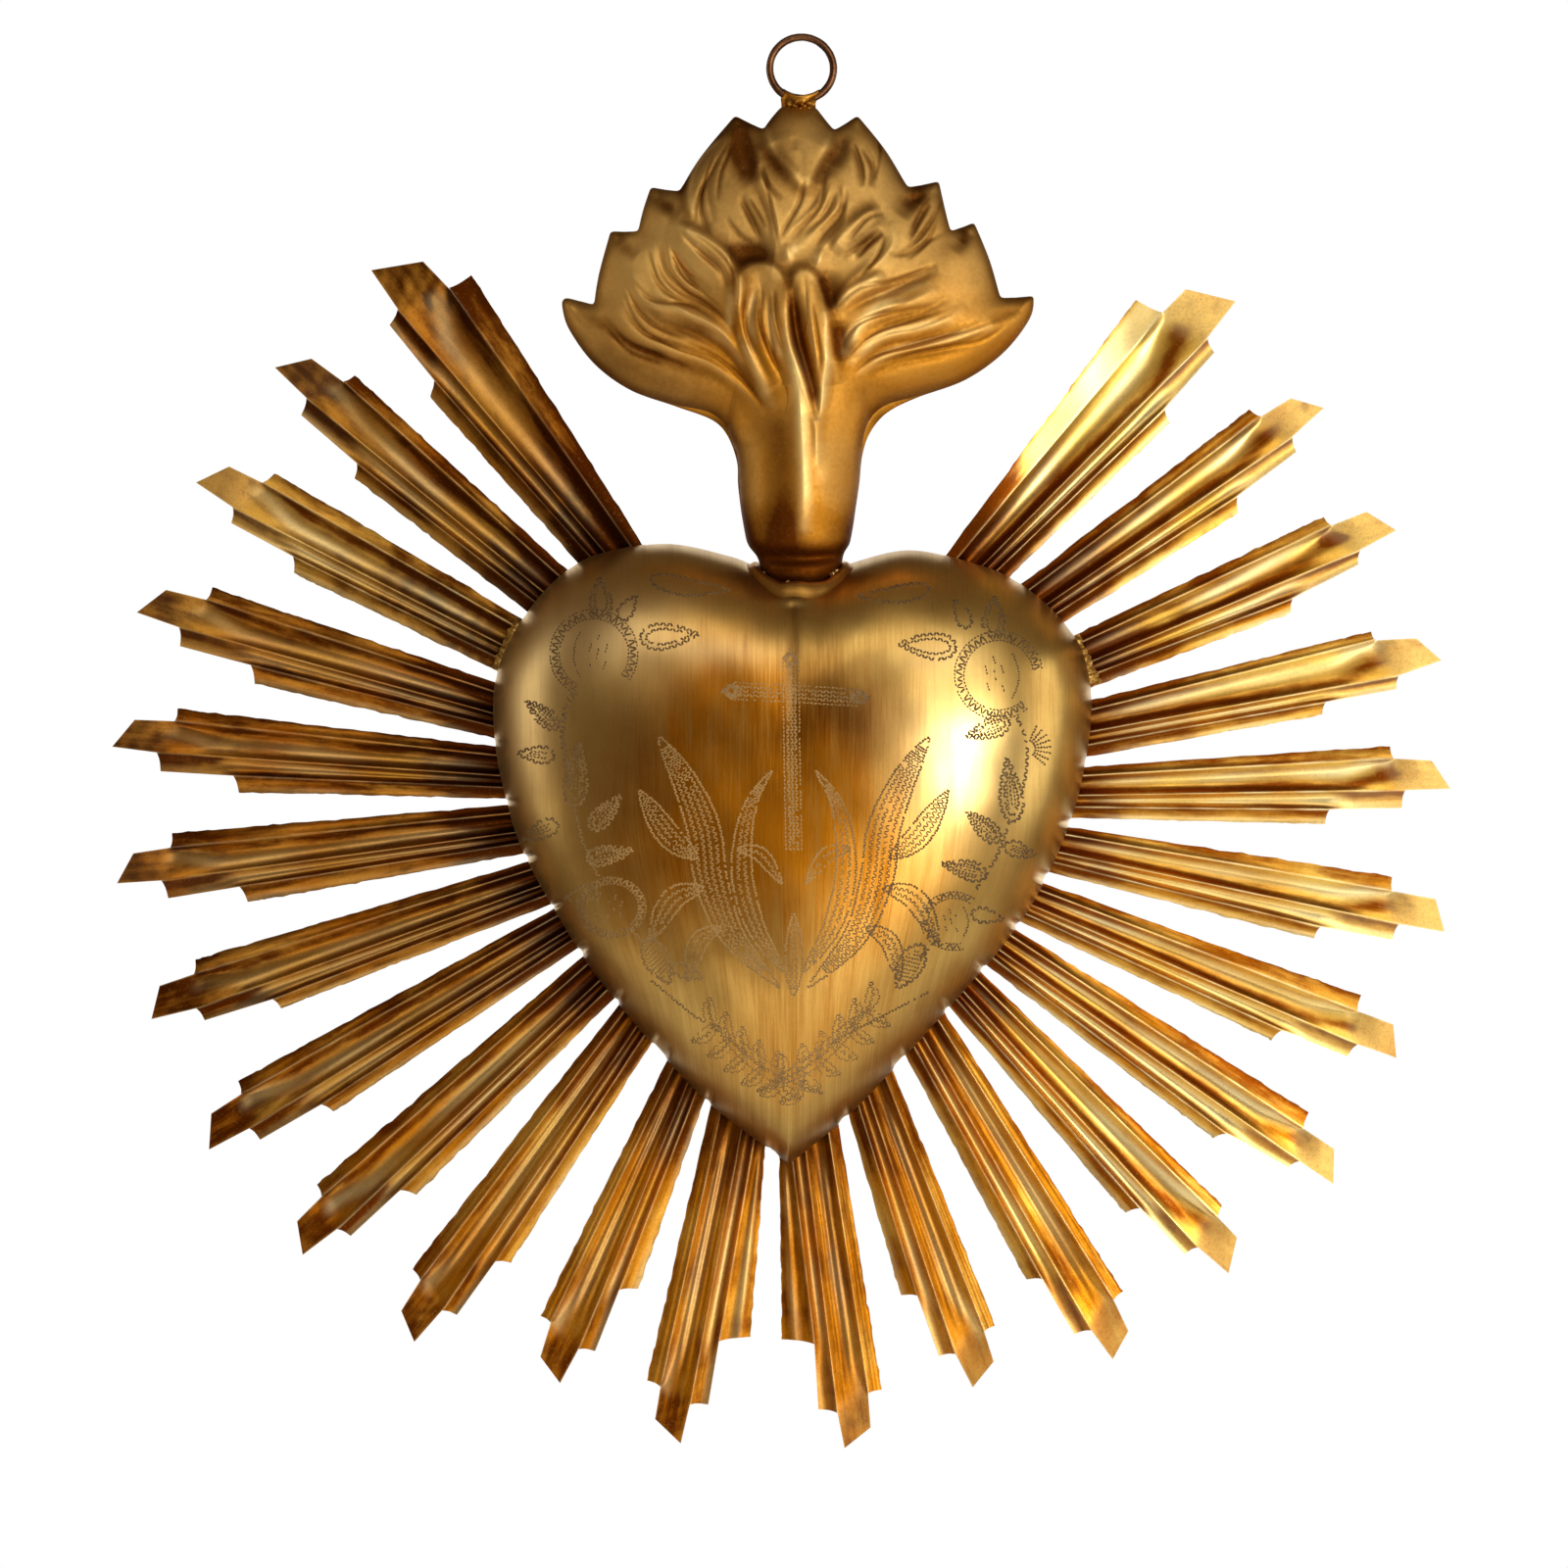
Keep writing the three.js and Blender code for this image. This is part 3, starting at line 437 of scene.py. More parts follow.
def heart_front():
    n, m = 720, 118
    th = np.linspace(0, 2 * np.pi, n, endpoint=False)
    t = 1 - (1 - np.linspace(0, 1, m)) ** 1.55
    T, A = np.meshgrid(t, th, indexing="xy")
    R = ring_at(R_TRUE, A)
    # the rim stands back where it is pressed down between two rays, and rises over each ray
    gap = np.zeros(n)
    for side in ("left", "right"):
        for q in RAYS[side]:
            a = np.arctan2(gz(q[0][1], 11) - HC[1], gx(q[0][0], 11) - HC[0])
            b = np.arctan2(gz(q[9][1], 11) - HC[1], gx(q[9][0], 11) - HC[0])
            mid, half = np.angle(np.exp(1j * a) + np.exp(1j * b)), abs(np.angle(np.exp(1j * (a - b)))) / 2
            gap = np.maximum(gap, smooth(half + 0.012, half - 0.004, np.abs(np.angle(np.exp(1j * (th - mid))))))
    dent = 1 - gap
    lower = smooth(0.15, -0.25, np.sin(th))
    X, Z = HC[0] + T * R * np.cos(A), HC[1] + T * R * np.sin(A)
    Y = dome_y(X, Z)
    press = (dent * (0.3 + 0.7 * lower))[:, None] * smooth(0.935, 1.0, T)
    Y = Y + 1.5 * press
    X, Z = X - 0.5 * press * np.cos(A), Z - 0.5 * press * np.sin(A)
    p = Patch()
    # painted shade darkens the cleft, the crease below it and several patches, the rim is darker, and some patches are
    # painted lighter; amber in the middle; painted highlights lie on the pressed dents between the rays, on the right
    # lobe and along the tops of the lobes
    W = Wobble(21)
    U, V = to_u(X, Y), to_v(Z, Y)

    def spot(u, v, a, b):
        return np.exp(-(((U - u) / a) ** 2 + ((V - v) / b) ** 2))

    # painted shade in the cleft and along the crease below it
    cleft = spot(814, 600, 44, 26)
    line = np.exp(-np.abs(U - 809) / 5.0) * smooth(790, 650, V) * smooth(600, 620, V)
    shade = 0.05 + 0.16 * smooth(0.965, 1.0, T) + 0.12 * smooth(0.80, 1.0, T) + 0.06 * W(X, 0, Z, 60.0) + 0.28 * cleft + 0.45 * line
    shade += 0.70 * spot(866, 728, 60, 46) + 0.26 * spot(745, 730, 58, 52) + 0.42 * spot(642, 755, 38, 82) - 0.30 * spot(622, 640, 80, 66) + 0.08 * spot(808, 800, 60, 60) + 0.14 * spot(690, 850, 60, 90) + 0.15 * spot(800, 960, 30, 70) + 0.17 * spot(802, 770, 60, 80) - 0.10 * spot(655, 800, 60, 110)
    shade += 0.50 * smooth(0.80, 0.98, T) * smooth(860, 1040, V) + 0.20 * smooth(0.86, 0.99, T) * smooth(1040, 1090, U) - 0.24 * smooth(0.86, 0.99, T) * smooth(600, 540, U) - 0.06 * spot(640, 660, 90, 60)
    shade = np.clip(shade - 0.60 * press, 0, 1)
    # glow: painted highlights
    glow = np.clip(0.66 * press + 0.26 * spot(545, 720, 34, 110) + 0.30 * spot(508, 790, 24, 170) + 0.40 * spot(612, 640, 80, 56)  + 0.35 * spot(977, 776, 60, 70) + 0.22 * spot(728, 664, 62, 16) + 0.18 * spot(960, 668, 46, 20), 0, 1)
    warm = 0.10 + 0.95 * spot(802, 815, 100, 150) + 0.45 * spot(735, 735, 62, 70) + 0.40 * spot(900, 860, 60, 130) + 0.42 * spot(690, 870, 80, 100) + 0.15 * W(X, 7, Z, 45.0) + 0.25 * spot(722, 712, 26, 40) + 0.30 * spot(800, 1090, 110, 90) + 0.30 * spot(648, 800, 60, 110)
    across = (U - 808) * UNIT * (1 + 0.55 * smooth(820, 1190, V))
    p.grid(np.stack([X, Y, Z], -1), wrap=True, flip=True, shade=shade, glow=glow, warm=np.clip(warm * (1 - 0.75 * smooth(0.78, 0.95, T)), 0, 1), across=across, along=V * UNIT)
    # the turned-back edge, then the sheet's inner side
    rim = np.stack([X[:, -1], Y[:, -1], Z[:, -1]], -1)
    back = np.where(gap > 0.5, 9.5, SKIRT_Y)
    rows = [rim]
    for k in (0.35, 0.7, 1.0):
        r = rim.copy()
        r[:, 1] = rim[:, 1] + (np.maximum(back, rim[:, 1] + 0.02) - rim[:, 1]) * k
        r[:, 0] -= 0.12 * k * np.cos(th)
        r[:, 2] -= 0.12 * k * np.sin(th)
        rows.append(r)
    for k in (0.5, 1.0):
        r = rows[3].copy()
        r[:, 0] -= 1.0 * k * np.cos(th)
        r[:, 2] -= 1.0 * k * np.sin(th)
        rows.append(r)
    rows.append(rows[-1] - np.stack([0.8 * np.cos(th), np.full(n, 2.0), 0.8 * np.sin(th)], -1))
    g = np.stack(rows, 1)
    p.grid(g, wrap=True, flip=True, shade=0.85, glow=0.0)
    return p


# ---- cut ornament: fine zigzag cuts along strokes, given on the outline grid
STROKES = []


def stroke(points, amp=2.2, pitch=3.0, weight=1.0):
    STROKES.append((np.asarray(points, float), amp, pitch * 1.22, weight))


def curve(points, amp=2.2, pitch=3.0, per=14, weight=1.0):
    stroke(catmull(points, per), amp, pitch, weight)


def leaf(cx, cy, deg, length, width, inner=0.6, bend=0.0, ribs=0, amp=2.1, tip=0.62):
    """A pointed leaf about its middle, with its tip towards deg, anticlockwise from the right."""
    a = math.radians(deg)
    d, s = np.array([math.cos(a), -math.sin(a)]), np.array([math.sin(a), math.cos(a)])
    k = np.linspace(0, 1, 26)

    def side(sign, scale):
        w = np.sin(np.pi * k**tip) ** 0.9 * width / 2 * scale
        l = (k - 0.5) * length * (1 if scale == 1 else 0.8)
        b = bend * length * np.sin(np.pi * k) * 0.5
        return np.array([cx, cy]) + l[:, None] * d + (sign * w + b)[:, None] * s

    for sc in (1.0,) + ((inner,) if inner else ()):
        stroke(side(1, sc), amp if sc == 1 else amp * 0.7, 2.8)
        stroke(side(-1, sc), amp if sc == 1 else amp * 0.7, 2.8)
    if ribs:
        for sign in (1, -1):
            stroke(side(sign, 0.34)[3:-4], 0.9, 3.0, 0.8)
        k = np.linspace(0.25, 0.72, 8)
        b = bend * length * np.sin(np.pi * k) * 0.5
        stroke(np.array([cx, cy]) + ((k - 0.5) * length)[:, None] * d + b[:, None] * s, 0.6, 3.6, 0.8)


def rose(cx, cy, r, squash_y=1.0, a0=0.0, a1=360.0, inner=0.62):
    """An open flower: a ring of broad zigzag cuts, the edge of one petal inside it and a few short dashes."""
    th = np.radians(np.linspace(a0, a1, 90))
    ring = lambda f: np.stack([cx + r * f * np.cos(th), cy + r * f * squash_y * np.sin(th)], -1)
    stroke(ring(0.895), r * 0.088, 2.9, 0.92)
    for f in (1.0, 0.79):
        stroke(ring(f), 0.4, 3.0, 0.78)
    sg = 1 if cx > 808 else -1
    k = np.linspace(-1, 1, 14)
    stroke(np.stack([cx + sg * r * (0.30 + 0.16 * (1 - k * k)), cy + r * squash_y * (0.52 * k + 0.02)], -1), 0.9, 2.5, 0.78)
    for x, y, h in ((-0.10, -0.34, 0.10), (0.08, -0.14, 0.10), (-0.08, 0.00, 0.13), (-0.28, -0.12, 0.11), (0.10, 0.30, 0.09), (-0.24, 0.26, 0.10)):
        stroke([[cx + sg * r * (x - 0.03), cy + r * squash_y * (y - h)], [cx + sg * r * (x + 0.03), cy + r * squash_y * (y + h)]], 0.4, 3.0, 0.74)


def bud(cx, cy, deg, length, width):
    leaf(cx, cy, deg, length, width, inner=0, tip=0.8)
    a = math.radians(deg)
    d, s = np.array([math.cos(a), -math.sin(a)]), np.array([math.sin(a), math.cos(a)])
    for f in np.linspace(-0.34, 0.3, 9):
        w = width * 0.36 * math.cos(f * 2.2)
        c = np.array([cx, cy]) + f * length * d
        stroke([c - w * s - 2 * d, c + w * s + 3 * d], 0.8, 2.3, 0.8)


def band(points, width, rows=2):
    """A band of close zigzag cuts between two edge lines."""
    c = resample(points, step=2.0)
    t = np.gradient(c, axis=0)
    t /= np.linalg.norm(t, axis=1)[:, None]
    s = np.stack([-t[:, 1], t[:, 0]], -1)
    for f in np.linspace(-0.24, 0.24, rows):
        stroke(c + s * width * f, 1.7, 2.7, 0.85)
    stroke(c + s * width / 2, 0.5, 3.4, 0.8)
    stroke(c - s * width / 2, 0.5, 3.4, 0.8)


def feather(points, width, edge=1.0):
    """A leaf filled with rows of close zigzag cuts, wide in its middle and pointed at its ends."""
    c = resample(catmull(points, 16), step=2.0)
    t = np.gradient(c, axis=0)
    t /= np.linalg.norm(t, axis=1)[:, None]
    s = np.stack([-t[:, 1], t[:, 0]], -1)
    k = np.linspace(0, 1, len(c))
    w = width * np.sin(np.pi * k**0.85) ** 0.8
    rows = max(1, int(round(2 * width / 6.4)) - 1)
    for f in (np.arange(rows) + 1) / (rows + 1) * 2 - 1:
        use = np.where((w * 2 / (rows + 1) > 1.9) | (abs(f) < 0.02))[0]
        if len(use) > 4:
            stroke((c + s * (f * w)[:, None])[use], 2.35, 2.3, 0.66)
    for sd in (1, -1):
        stroke(c + s * sd * w[:, None], 1.3, 2.5, edge)


def ornament():
    # left garland
    leaf(613, 609, 92, 40, 22)
    leaf(641, 620, 55, 30, 15, inner=0)
    leaf(683, 649, 4, 60, 26)
    leaf(704, 596, -8, 82, 18, inner=0, bend=0.08)
    rose(606, 667, 45, a0=118, a1=398)
    curve([[588, 704], [577, 724], [575, 755], [581, 800]], 4.0, 2.3)
    leaf(553, 729, 140, 44, 18, ribs=3)
    leaf(547, 770, 175, 38, 17, inner=0, ribs=3)
    leaf(588, 790, 86, 66, 23, ribs=4)
    leaf(551, 848, 205, 40, 18, inner=0, ribs=3)
    curve([[586, 824], [595, 860], [611, 895]])
    leaf(618, 829, 48, 46, 19, ribs=3)
    leaf(622, 872, 12, 48, 19, ribs=3)
    rose(624, 926, 35, 0.88, inner=0.55)
    leaf(592, 913, 195, 34, 15, inner=0)
    curve([[643, 946], [655, 962], [661, 970]])
    bud(671, 981, -62, 52, 26)
    leaf(702, 992, -20, 34, 14, inner=0)
    # right garland
    leaf(1014, 629, 88, 42, 22)
    leaf(981, 626, 118, 32, 15, inner=0)
    leaf(946, 659, 176, 60, 26)
    leaf(912, 604, 186, 74, 17, inner=0, bend=-0.08)
    rose(1019, 689, 45, a0=48, a1=352)
    curve([[1036, 728], [1046, 752], [1048, 780], [1042, 812]])
    leaf(1008, 744, 200, 48, 20, ribs=3)
    for a in range(-40, 80, 15):
        r = math.radians(a)
        stroke([[1047 + 8 * math.cos(r), 764 - 8 * math.sin(r)], [1047 + 26 * math.cos(r), 764 - 26 * math.sin(r)]], 0.9, 2.4)
    leaf(1031, 806, 96, 66, 23, ribs=4)
    curve([[1030, 838], [1018, 872], [996, 908]])
    leaf(1003, 843, 138, 46, 19, ribs=3)
    leaf(984, 887, 165, 48, 19, ribs=3)
    leaf(1041, 868, -18, 34, 15, inner=0, ribs=3)
    rose(973, 940, 33, 0.9, a0=70, a1=312, inner=0.55)
    curve([[955, 960], [944, 972], [938, 978]])
    bud(928, 986, 240, 52, 26)
    leaf(1008, 935, -10, 34, 15, inner=0)
    # the small cross in the middle, of zigzag bands with leaf ends
    band([[748, 705], [812, 708], [876, 712]], 17, 3)
    band([[807, 674], [808, 770], [810, 868]], 16, 3)
    for cx, cy, deg in ((746, 705, 180), (878, 712, 0), (807, 672, 90)):
        for turn, size in ((-62, 15), (0, 21), (62, 15)):
            leaf(cx, cy, deg + turn, size, 9, inner=0)
    # tall curved leaves of close cuts on both sides of the cross's foot
    for sg in (-1, 1):
        m = lambda pts: [[810 + sg * x, y] for x, y in pts]
        feather(m([[138, 752], [112, 796], [92, 846], [84, 900], [62, 956], [14, 1008]]), 17)
        feather(m([[10, 992], [38, 948], [52, 900], [52, 856], [42, 816], [22, 786]]), 10.5)
        feather(m([[98, 876], [128, 852], [158, 806]]), 12)
        feather(m([[92, 906], [124, 918], [148, 962]]), 11)
        feather(m([[74, 946], [98, 962], [108, 1002]]), 9)
        feather(m([[58, 866], [34, 872], [12, 902]]), 7)
    feather([[810, 1016], [810, 978], [810, 932]], 9)
    curve([[948, 1012], [902, 1036], [852, 1062], [818, 1084]], 1.4)
    curve([[664, 1000], [700, 1030], [732, 1052]], 1.6)
    # two leafy sprays that cross above the heart's tip
    for sg, a, b in ((1, (729, 1046), (840, 1116)), (-1, (885, 1030), (772, 1114))):
        c = np.array([a, [(a[0] + b[0]) / 2, (a[1] + b[1]) / 2 + 12], b], float)
        feather(c, 7.5, 0.6)
        pts = resample(catmull(c, 20), n=7)
        for q in pts[:-1]:
            for ang in (35, -82) if sg > 0 else (145, 262):
                r = math.radians(ang)
                tip = np.array([math.cos(r), -math.sin(r)]) * -29
                side = np.array([tip[1], -tip[0]]) * 0.12 * sg
                feather([q, q + tip * 0.5 + side, q + tip], 6.6, 0.58)


def cut_lines():
    """Short cuts that zigzag along every stroke, each a low ridge of burr with its feet sunk in the sheet."""
    mids, dirs, sizes = [], [], []
    for pts, amp, pitch, weight in STROKES:
        c = resample(pts, step=pitch)
        if len(c) < 3:
            c = resample(pts, n=3)
        t = np.gradient(c, axis=0)
        t /= np.maximum(1e-6, np.linalg.norm(t, axis=1))[:, None]
        s = np.stack([-t[:, 1], t[:, 0]], -1)
        z = np.where(np.arange(len(c)) % 2 == 0, 1.0, -1.0)[:, None]
        e = c + s * z * amp * 1.15 * rng.uniform(0.8, 1.2, (len(c), 1)) + rng.normal(0, 0.2, c.shape)
        d = e[1:] - e[:-1]
        size = np.maximum(1e-6, np.linalg.norm(d, axis=1))
        mids.append((e[1:] + e[:-1]) / 2)
        dirs.append(d / size[:, None])
        sizes.append(np.stack([np.clip(size * 0.5, 1.6, 7.0), 1.6 * weight * rng.uniform(0.85, 1.15, len(size))], -1))
    c, d, w = np.concatenate(mids), np.concatenate(dirs), np.concatenate(sizes)
    keep = rng.uniform(0, 1, len(c)) > 0.06
    c, d, w = c[keep], d[keep], w[keep]
    s = np.stack([-d[:, 1], d[:, 0]], -1)
    hl, hw = w[:, :1], w[:, 1:]
    six = [c - d * hl, c - d * hl * 0.45 - s * hw, c + d * hl * 0.45 - s * hw, c + d * hl, c + d * hl * 0.45 + s * hw, c - d * hl * 0.45 + s * hw]
    top = [c - d * hl * 0.5, c + d * hl * 0.5]
    q = np.stack(six + top, 1)
    lift = np.broadcast_to(np.array([-0.05] * 6 + [0.085] * 2)[None], q.shape[:2])
    v = on_dome(q[..., 0].ravel(), q[..., 1].ravel(), lift.ravel())[0]
    f = []
    for i in range(len(c)):
        b = 8 * i
        f += [(b, b + 6, b + 1), (b + 1, b + 6, b + 7, b + 2), (b + 2, b + 7, b + 3), (b + 3, b + 7, b + 4), (b + 4, b + 7, b + 6, b + 5), (b + 5, b + 6, b)]
    # zone: the cuts are painted pale where the ground around them lies in dark reflection and dark elsewhere, which is
    # painted light
    zone = np.exp(-(((c[:, 0] - 705) / 120) ** 2 + ((c[:, 1] - 870) / 130) ** 2)) + 0.9 * np.exp(-(((c[:, 0] - 800) / 70) ** 2 + ((c[:, 1] - 800) / 190) ** 2)) + 0.34 * np.exp(-(((c[:, 0] - 806) / 100) ** 2 + ((c[:, 1] - 1085) / 55) ** 2))
    p = Patch()
    p.add(v, f, shade=np.repeat(np.clip(0.84 - 0.97 * zone, 0, 1), 8), glow=0.0, warm=0.4)
    return p


# ---------------------------------------------------------------- rays
# how much of the lit palette each ray gets: the left rays are painted as in shade, the right ones as lit
LIT_TONE = {"left": [0.0, 0.10, 0.32, 0.08, 0.06, 0.10, 0.16, 0.28, 0.5, 0.6, 0.65, 0.7], "right": [1.0, 0.95, 0.86, 1.0, 1.0, 1.0, 1.0, 1.0, 0.95, 0.8, 0.65, 0.6]}

AMBER = {"left": [0.06, 0.08, -0.25, 0.2, 0.25, 0.25, 0.25, 0.3, 0.35, 0.5, 0.65, 0.7], "right": [0.0, 0.1, 0.15, 0.1, 0.1, 0.15, 0.2, 0.25, 0.3, 0.55, 0.7, 0.75]}


def ray(side, index, material):
    tone = LIT_TONE[side][index]
    q = np.array([[gx(a, 11), gz(b, 11)] for a, b in RAYS[side][index]], float)
    r = np.random.default_rng(900 + index + (50 if side == "right" else 0))
    W = Wobble(300 + index + (40 if side == "right" else 0))
    W2 = Wobble(500 + index + (40 if side == "right" else 0))
    base = [q[0] + (q[9] - q[0]) * s for s in EDGE]
    ends = [q[1], q[2], q[5], q[7], q[8]]
    dirs = [(e - b) / np.linalg.norm(e - b) for e, b in zip(ends, base)]
    root = [b - d * TUCK for b, d in zip(base, dirs)]
    L = np.linalg.norm(q[4] - (q[0] + q[9]) / 2)
    mid = ((q[0] + q[9]) / 2, (q[4] - (q[0] + q[9]) / 2) / L)
    across_dir = (q[9] - q[0]) / np.linalg.norm(q[9] - q[0])
    x2 = root[2] + dirs[2] * np.linalg.norm(q[7] - root[3])
    strips = [
        ([root[0], q[1]], [root[1], q[2]], 12),
        ([root[1], q[2], q[3]], [root[2], q[5], q[4]], 24),
        ([root[2], x2, q[5]], [root[3], q[7], q[6]], 16),
        ([root[3], q[7]], [root[4], q[8]], 14),
    ]
    bend, twist = r.uniform(-0.7, 0.7), r.uniform(-0.9, 0.9)
    stain = 1.5 if (side, index) == ("right", 2) else max(0.0, r.uniform(-0.5, 0.8))
    dark_side = 1 - tone
    low_ray = float(smooth(7.5, 10.0, index))
    p = Patch()
    for i, (lp, rp, cols) in enumerate(strips):
        par = 1 - (1 - np.linspace(0, 1, 58)) ** 1.5
        seg = np.zeros(len(par), int)
        if len(lp) == 3:
            ext = np.linspace(0, 1, 19)[1:]
            par, seg = np.concatenate([par, ext]), np.concatenate([seg, np.ones(len(ext), int)])
        lp, rp = np.array(lp), np.array(rp)
        a = lp[seg] + (lp[seg + 1] - lp[seg]) * par[:, None]
        b = rp[seg] + (rp[seg + 1] - rp[seg]) * par[:, None]
        k = 0.5 - 0.5 * np.cos(np.pi * np.linspace(0, 1, cols))
        k = 0.6 * k + 0.4 * np.linspace(0, 1, cols)
        P = a[:, None] + (b - a)[:, None] * k[None, :, None]
        w = np.linalg.norm(b - a, axis=1)[:, None]
        K = np.broadcast_to(k[None], P.shape[:2])
        # the inner corner of each step is cut to a small hollow curve
        out = (lp[-1] - lp[-2] + rp[-1] - rp[-2]) / 2
        out = out / np.linalg.norm(out)
        if i != 1:
            web = K if i == 0 else 1 - K
            P = P + out * (0.55 * np.clip((web - 0.35) / 0.65, 0, 1) ** 2.4 * (smooth(0.9, 1.0, par) * (seg == seg.max()))[:, None])[..., None]
        l = (P - mid[0]) @ mid[1]

        # the arrises are softened over about a quarter of a millimetre
        def soft(e, rho=0.26):
            return np.where(e < rho, e * e / (2 * rho), e - rho / 2)

        e0, e1 = soft(k[None] * w), soft((1 - k)[None] * w)
        kk = np.clip(e0 / np.maximum(e0 + e1, 1e-6), 0, 1)
        e = 2 * kk - 1
        if i == 0:
            h = 0.40 + 0.60 * np.clip(1 - e1 / np.maximum(w, 1e-6), 0, 1) ** 1.8
            h = h + low_ray * 0.22 * np.exp(-(((K - 0.48) / 0.15) ** 2)) * smooth(0.0, 12.0, l)
            f = np.ones_like(h)
            if (side, index) == ("right", 0):
                h = 1.0 + 0.60 * (1 - K) * smooth(4, 26, l) * (1 - 0.85 * smooth(48.0, 78.0, l))
        elif i == 1:
            # at its end the wide flute swings over to edge A and runs out past the notch; the flat tip follows
            la, lb = (q[2] - mid[0]) @ mid[1], (q[5] - mid[0]) @ mid[1]
            ln = la + (lb - la) * K
            g = np.clip((l - (ln - 15.0)) / 15.0, 0, 1)
            hook = smooth(0.0, 1.0, g)
            eb = -0.74 * hook - 0.55 * smooth(ln - 2.0, ln + 3.0, l)
            de = e - eb
            f = np.where(de < 0, 1 - (de / np.maximum(1 + eb, 0.05)) ** 2, 1 - (de / (1 - eb)) ** 2)
            f = np.clip(f, 0, 1) * (1 - smooth(ln - 1.5, ln + 6.5, l))
            h = 1 - f + low_ray * (0.34 * np.exp(-(((K - 0.40) / 0.085) ** 2)) + 0.26 * np.exp(-(((K - 0.68) / 0.075) ** 2))) * smooth(0.0, 14.0, l) * (1 - smooth(ln - 12.0, ln - 2.0, l))
        elif i == 2:
            lm = (q[7] - mid[0]) @ mid[1]
            g = np.clip((l - (lm - 8.0)) / 15.0, 0, 1)
            f = (1 - e * e) * (1 - 0.35 * smooth(0.0, 1.0, g))
            h = 1 - 0.75 * f - 0.62 * kk**1.6 * smooth(lm - 0.5, lm + 7.5, l)
        else:
            h = 0.22 + 0.78 * np.clip(1 - e0 / np.maximum(w, 1e-6), 0, 1) ** 1.7
            if index == 11:
                h = h + 0.42 * np.exp(-(((K - 0.62) / 0.17) ** 2)) * smooth(0.0, 12.0, l)
            f = np.ones_like(h)
        f = np.clip(f, 0, 1)
        lf = np.clip(l / L, -0.2, 1.1)
        depth = RAY_D * (1 - 0.55 * np.clip(lf, 0, 1) ** 1.5)
        ac = (P - q[0]) @ across_dir
        lane = (EDGE[i] + (EDGE[i + 1] - EDGE[i]) * K) * 21.0 + 53.0 * index + (700.0 if side == "right" else 0.0)
        y = RAY_FRONT + 0.05 + (1 - h) * depth
        fl = np.clip(lf, 0, 1)
        y = y + bend * fl**2 + twist * fl * (ac / 20.0 - 0.5) + 0.035 * W(l, ac, i * 7.0, 11.0) * fl + 0.10 * W2(l, 0, 0, 34.0) * fl
        # ragged, hand-cut long edges
        X, Z = P[..., 0].copy(), P[..., 1].copy()
        edge = np.zeros_like(K)
        jag = 0.11 * W(l, 5, 0, 1.9) + 0.13 * W2(l, 0, 9, 5.0)
        if i in (0, 3):
            edge = np.clip(1 - (K if i == 0 else 1 - K) * 3, 0, 1)
            sg = -1.0 if i == 0 else 1.0
            X += sg * across_dir[0] * jag * edge
            Z += sg * across_dir[1] * jag * edge
        G = np.stack([X, y, Z], -1)
        near = smooth(16.0, -2.0, l)
        arris = np.exp(-(np.minimum(np.where(i > 0, k[None] * w, 9), np.where(i < 3, (1 - k)[None] * w, 9)) / 0.24) ** 2)
        # darker bands of painted shade, with some patina, lie along the walls, and painted highlight bands run beside
        # them; where they lie across each flute differs between the left and right rays, as the light falls
        amber = AMBER[side][index]
        at = {"left": 0.64, "right": 0.34}[side] * (1 - low_ray) + 0.45 * low_ray
        away = {"left": 0.16, "right": 0.82}[side]
        Kw = K + 0.07 * W2(l, 0, i * 4.0, 46.0)
        tip = 0.0 * K
        if i == 1:
            run = 1 - smooth(ln - 2.0, ln + 3.0, l)
            Kw = Kw + 0.30 * hook
            wall = (0.85 * np.exp(-(((Kw - away) / 0.20) ** 2)) + 0.30 * np.exp(-(((Kw - (1 - away)) / 0.10) ** 2))) * run
            wall = wall + stain * np.exp(-(((l - ln + 1.0) / 4.5) ** 2)) * np.clip(0.25 + W(l, ac, 4, 7.0), 0, 1) * smooth(0.75, 0.15, K)
            bottom = np.exp(-(((Kw - at) / 0.17) ** 2)) * run
            tip = smooth(ln - 4.0, ln + 2.0, l)
        elif i == 2:
            run = 1 - smooth(0.45, 1.0, g)
            wall = (0.80 * np.exp(-(((Kw - 0.95) / 0.24) ** 2)) + 0.35 * np.exp(-((Kw / 0.12) ** 2))) * run + 0.85 * (1 - run) * smooth(0.78, 0.15, K)
            bottom = np.exp(-(((Kw - 0.46) / 0.22) ** 2)) * run + 0.6 * (1 - run) * smooth(0.45, 0.85, K)
            tip = 0.5 * (1 - run)
        elif i == 0:
            wall, bottom = 0.62 - 0.22 * K, 0.0 * K
            if side == "left" and index < 3:
                wall = (1.0 - 0.30 * K, 0.80 - 0.25 * K, 0.22 - 0.10 * K)[index]
        else:
            wall, bottom = 0.85 * (1 - K) ** 1.2, 0.75 * smooth(0.45, 0.95, K)
            if index == 11:
                wall = wall + 0.7 * np.exp(-(((Kw - 0.84) / 0.13) ** 2))
                bottom = np.exp(-(((Kw - 0.60) / 0.13) ** 2))
        if i == 0 and (side, index) == ("right", 0):
            wall, bottom = 0.7 * smooth(30, 14, l) + 0.34 * smooth(0.16, 0.0, K) + 0.42 * smooth(0.80, 0.96, lf), 1.05 * smooth(18, 36, l) * smooth(0.95, 0.78, lf) * smooth(0.02, 0.22, K)
        cloud = W2(l, ac, 0, 26.0)
        if side == "right":
            tn = tone * (0.60 + 0.40 * smooth(0.0, 30.0, l + 5.0 * W2(ac, l, 2, 12.0)))
        elif index == 2:
